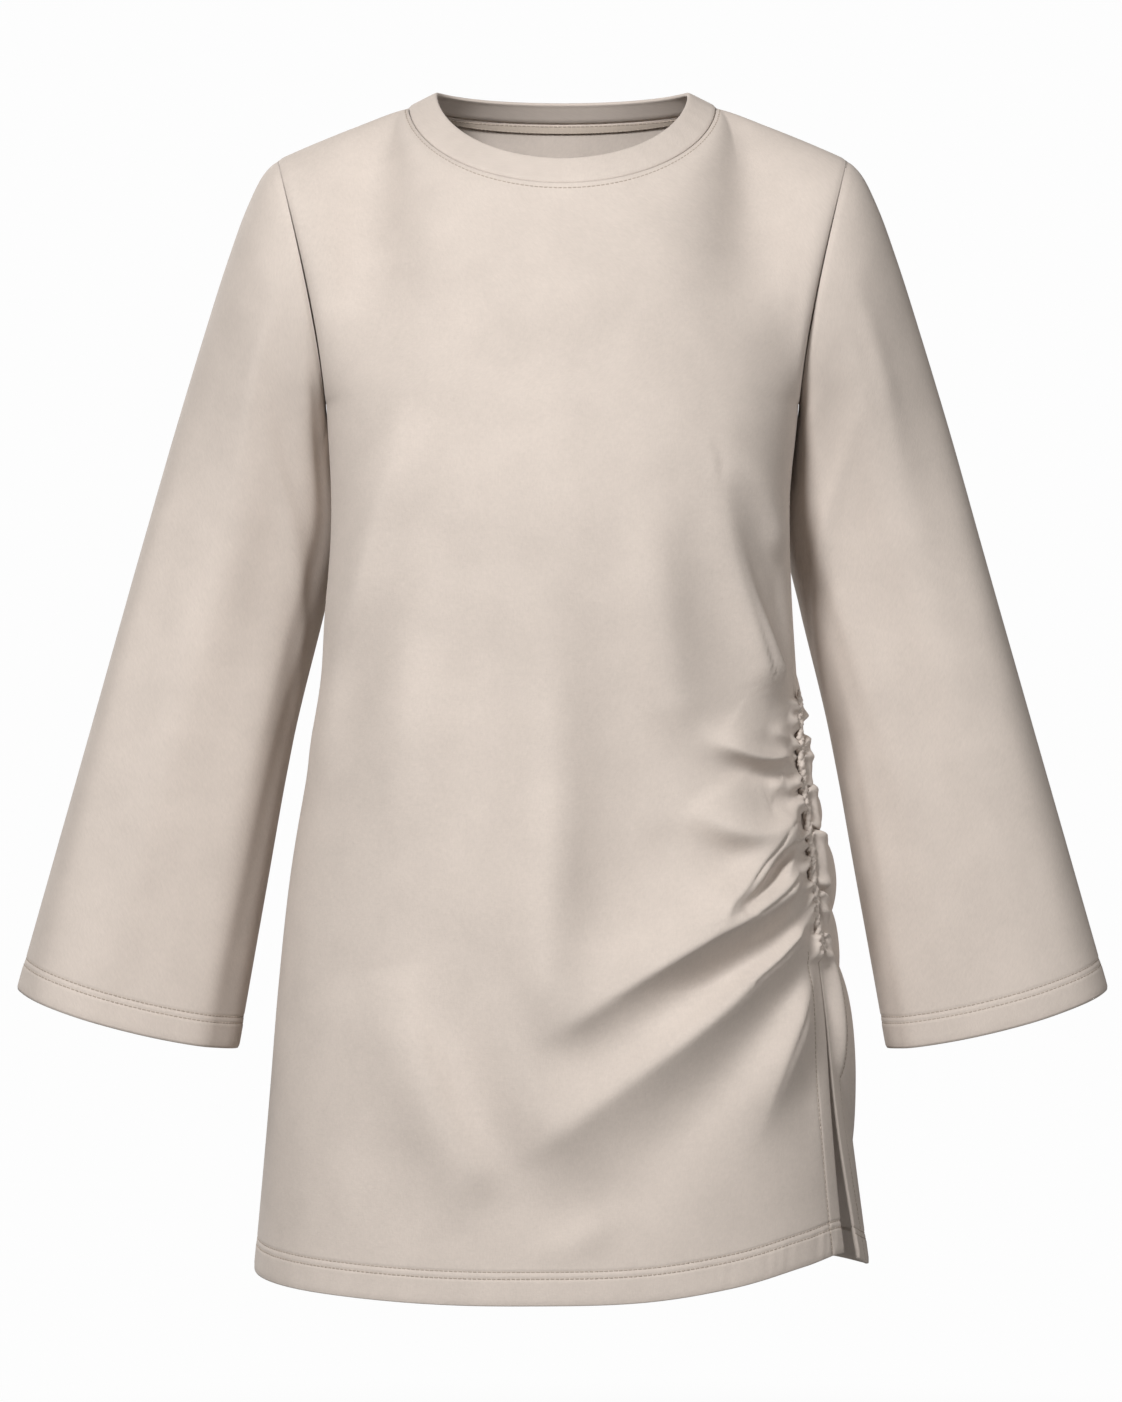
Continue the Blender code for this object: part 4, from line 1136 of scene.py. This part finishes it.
class TUNIC_OT_seam_welt(bpy.types.Operator):
    """Make the bunched seam allowance, a soft twisted cord of cloth"""

    bl_idname = "tunic.seam_welt"
    bl_label = "Gathered seam"

    def execute(self, context):
        share = np.linspace(0, 1, WELT_ROWS)
        height = GATHER_TOP + 0.004 + (GATHER_BOTTOM - GATHER_TOP - 0.006) * share
        angle = read(SIDE_EDGES, "height", "front", height)
        line = body_point(angle, height)
        along = unit(np.gradient(line, axis=0))
        sideways = unit(body_point(angle + 2, height) - body_point(angle - 2, height))
        outward = unit(np.cross(sideways, -along))
        run = 1000 * (height[0] - height)
        taper = smooth(share / 0.04) * smooth((1 - share) / 0.04)
        twist = run * 0.42 + 0.9 * np.sin(run * 0.11) + 0.5 * np.sin(run * 0.31 + 1)
        sway = 0.0007 * np.sin(run * 0.23 + 0.6) + 0.0004 * np.sin(run * 0.71)
        loops = []
        for k in range(WELT_COLUMNS):
            turn = 2 * math.pi * k / WELT_COLUMNS
            strand = np.abs(np.cos(turn - twist)) ** 0.7
            knot = 0.80 + 0.20 * np.abs(np.sin(run * 0.62 + 0.8 * np.sin(run * 0.17)))
            crease = 0.06 * np.sin(2 * turn + run * 2.3)
            size = (0.58 + 0.42 * strand + crease) * knot * (0.25 + 0.75 * taper)
            wide = WELT_HALF_WIDE * size * math.cos(turn) + sway
            tall = WELT_STAND + WELT_HALF_TALL * size * math.sin(turn)
            loops.append(line + sideways * wide[:, None] + outward * np.reshape(tall, (-1, 1)))
        grid = np.array(loops).transpose(1, 0, 2)
        index = np.arange(grid[..., 0].size).reshape(grid.shape[:2])
        faces = quads(closed(index)).tolist() + [index[0, ::-1].tolist(), index[-1].tolist()]
        around = np.tile(np.arange(WELT_COLUMNS) * 0.0008, WELT_ROWS)
        lengths = np.stack([around, np.repeat(run / 1000, WELT_COLUMNS)], axis=1)
        welt = make_object("tunic_seam_welt", grid.reshape(-1, 3).tolist(), faces, lengths)
        dress(welt, "brushed_knit_cloth", "seam_welt")
        return {"FINISHED"}


class TUNIC_OT_stitching(bpy.types.Operator):
    """Sew the hems, cuffs, neck and slit, one thread at a time"""

    bl_idname = "tunic.stitching"
    bl_label = "Stitching"

    def execute(self, context):
        front, _, run, up = panel_layers(False)
        back, _, back_run, back_up = panel_layers(True)
        grids = ((front, up), (back, back_up))
        rows = [line_at(outer, length, at) for outer, length in grids for at in hem_rows()]
        stitches("hem_stitches", rows)

        rows = []
        for side in (-1.0, 1.0):
            outer, _, _, down = sleeve_layers(side)
            loop, reach = closed(outer)[::-1], closed(down[-1:] - down)[::-1]
            for at in hem_rows():
                line, out = line_at(loop, reach, at)
                inward = ((line - line.mean(0)) * out).sum(-1, keepdims=True) < 0
                rows.append((line, np.where(inward, -out, out)))
        stitches("cuff_stitches", rows)

        rows = []
        for (outer, length), stretches in zip(grids, (FRONT_COLUMNS, BACK_COLUMNS)):
            keep = np.abs(2 * spaced(stretches) - 1) < NECK_SHARE + 0.002
            reach = (length[-1:] - length)[::-1][:, keep]
            line, out = line_at(outer[::-1][:, keep], reach, NECK_ROW)
            rows.append((line, -out))
        stitches("neck_stitches", rows)

        slit = slice(1, row_at(GATHER_BOTTOM - 0.004))
        sides = ((front, run[:, -1:] - run), (back, back_run))
        rows = [line_at(outer, away, SLIT_ROW, slit) for outer, away in sides]
        stitches("slit_stitches", rows)
        return {"FINISHED"}


class TUNIC_OT_stage(bpy.types.Operator):
    """Set the floor, the soft studio light and the camera"""

    bl_idname = "tunic.stage"
    bl_label = "Stage"

    def execute(self, context):
        stage = context.scene.tunic_stage
        bpy.ops.object.select_all(action="DESELECT")
        bpy.ops.mesh.primitive_circle_add(
            vertices=96, radius=FLOOR_RADIUS, fill_type="NGON", location=(0, 0, stage.floor)
        )
        floor = context.object
        floor.name = "studio_floor"
        bpy.ops.object.transform_apply(location=True, rotation=False, scale=False)
        floor.data.materials.append(pale_floor())
        area_light("key", (-1.05, -2.55, 1.05), (0.0, 0.0, -0.60), 0.75, stage.key)
        area_light("fill", (2.1, -2.2, 0.8), (0.0, 0.0, -0.40), 1.6, stage.fill)
        area_light("back", (-1.5, 2.3, 1.0), (0.0, 0.0, -0.45), 1.2, stage.fill * 1.6)
        soft_room(stage.room)
        camera_data = bpy.data.cameras.new("camera")
        camera_data.sensor_fit = "AUTO"
        camera_data.sensor_width = 36.0
        camera_data.lens = 36.0 * CAMERA_DISTANCE / CAMERA_FIELD
        camera = add_object("camera", camera_data)
        camera.location = (CAMERA_SIDE, -CAMERA_DISTANCE, CAMERA_HEIGHT)
        camera.rotation_euler = (math.radians(90), 0, 0)
        context.scene.camera = camera
        context.scene.view_settings.view_transform = "Standard"
        return {"FINISHED"}


def area_light(name, place, target, size, power):
    data = bpy.data.lights.new(name, "AREA")
    data.shape = "DISK"
    data.size = size
    data.energy = power
    light = add_object(name, data)
    light.location = place
    aim = Vector(target) - Vector(place)
    light.rotation_euler = aim.to_track_quat("-Z", "Y").to_euler()


def soft_room(brightness):
    """A pale room: it lights softly from all sides and shows nearly white."""
    world = bpy.data.worlds.new("pale_room")
    bpy.context.scene.world = world
    world.use_nodes = True
    tree = world.node_tree
    shown = tree.nodes["Background"]
    connect(tree, shown, {"Color": NEARLY_WHITE})
    lit = add_node(tree, "Background", {"Color": WARM_LIGHT, "Strength": brightness})
    seen = add_node(tree, "LightPath").outputs["Is Camera Ray"]
    choose = {0: seen, 1: lit.outputs["Background"], 2: shown.outputs["Background"]}
    surface = add_node(tree, "MixShader", choose).outputs["Shader"]
    connect(tree, tree.nodes["World Output"], {"Surface": surface})


def pale_floor():
    """A matt floor that fades into the pale room with distance. It glows only where
    it is looked at, and throws less light on the cloth than it seems to."""
    material, tree = new_material("pale_floor")
    seen = add_node(tree, "LightPath").outputs["Is Camera Ray"]
    place = add_node(tree, "TexCoord").outputs["Object"]
    length = add_node(tree, "VectorMath", {0: place}, operation="LENGTH").outputs["Value"]
    fade = {"Value": length, "From Min": FADE_START, "From Max": FADE_END}
    far = add_node(tree, "MapRange", fade, interpolation_type="SMOOTHSTEP").outputs["Result"]
    greys = {0: seen, 6: FLOOR_BOUNCE, 7: FLOOR_SHOWN}
    shader = tree.nodes["Principled BSDF"]
    colour = add_node(tree, "Mix", greys, data_type="RGBA").outputs[2]
    connect(tree, shader, {"Base Color": colour, "Roughness": 0.9})
    glow = add_node(tree, "Emission", {"Color": NEARLY_WHITE}).outputs["Emission"]
    choose = {0: maths(tree, "MULTIPLY", far, seen), 1: shader.outputs["BSDF"], 2: glow}
    surface = add_node(tree, "MixShader", choose).outputs["Shader"]
    connect(tree, tree.nodes["Material Output"], {"Surface": surface})
    return material


STEPS = (
    ("tunic.panels", "Front and back"),
    ("tunic.sleeves", "Sleeves"),
    ("tunic.neckband", "Neckband"),
    ("tunic.neck_tape", "Neck tape"),
    ("tunic.seam_welt", "Gathered seam"),
    ("tunic.stitching", "Stitching"),
    ("tunic.stage", "Stage"),
)


class TUNIC_PT_sidebar(bpy.types.Panel):
    """The tunic's pieces, sizes and colours"""

    bl_idname = "TUNIC_PT_sidebar"
    bl_label = "Tunic"
    bl_space_type = "VIEW_3D"
    bl_region_type = "UI"
    bl_category = "Tunic"

    def draw(self, context):
        layout = self.layout
        scene = context.scene
        for group in (scene.tunic_form, scene.tunic_colours, scene.tunic_stage):
            for name in group.__annotations__:
                layout.prop(group, name)
        for step, label in STEPS:
            layout.operator(step, text=label)


CLASSES = (
    TunicForm,
    TunicColours,
    TunicStage,
    TUNIC_OT_panels,
    TUNIC_OT_sleeves,
    TUNIC_OT_neckband,
    TUNIC_OT_neck_tape,
    TUNIC_OT_seam_welt,
    TUNIC_OT_stitching,
    TUNIC_OT_stage,
    TUNIC_PT_sidebar,
)


def register():
    for cls in CLASSES:
        bpy.utils.register_class(cls)
    bpy.types.Scene.tunic_form = PointerProperty(type=TunicForm)
    bpy.types.Scene.tunic_colours = PointerProperty(type=TunicColours)
    bpy.types.Scene.tunic_stage = PointerProperty(type=TunicStage)


def unregister():
    del bpy.types.Scene.tunic_form
    del bpy.types.Scene.tunic_colours
    del bpy.types.Scene.tunic_stage
    for cls in reversed(CLASSES):
        bpy.utils.unregister_class(cls)


def main():
    register()
    bpy.ops.tunic.panels()
    bpy.ops.tunic.sleeves()
    bpy.ops.tunic.neckband()
    bpy.ops.tunic.neck_tape()
    bpy.ops.tunic.seam_welt()
    bpy.ops.tunic.stitching()
    bpy.ops.tunic.stage()


if __name__ == "__main__":
    main()
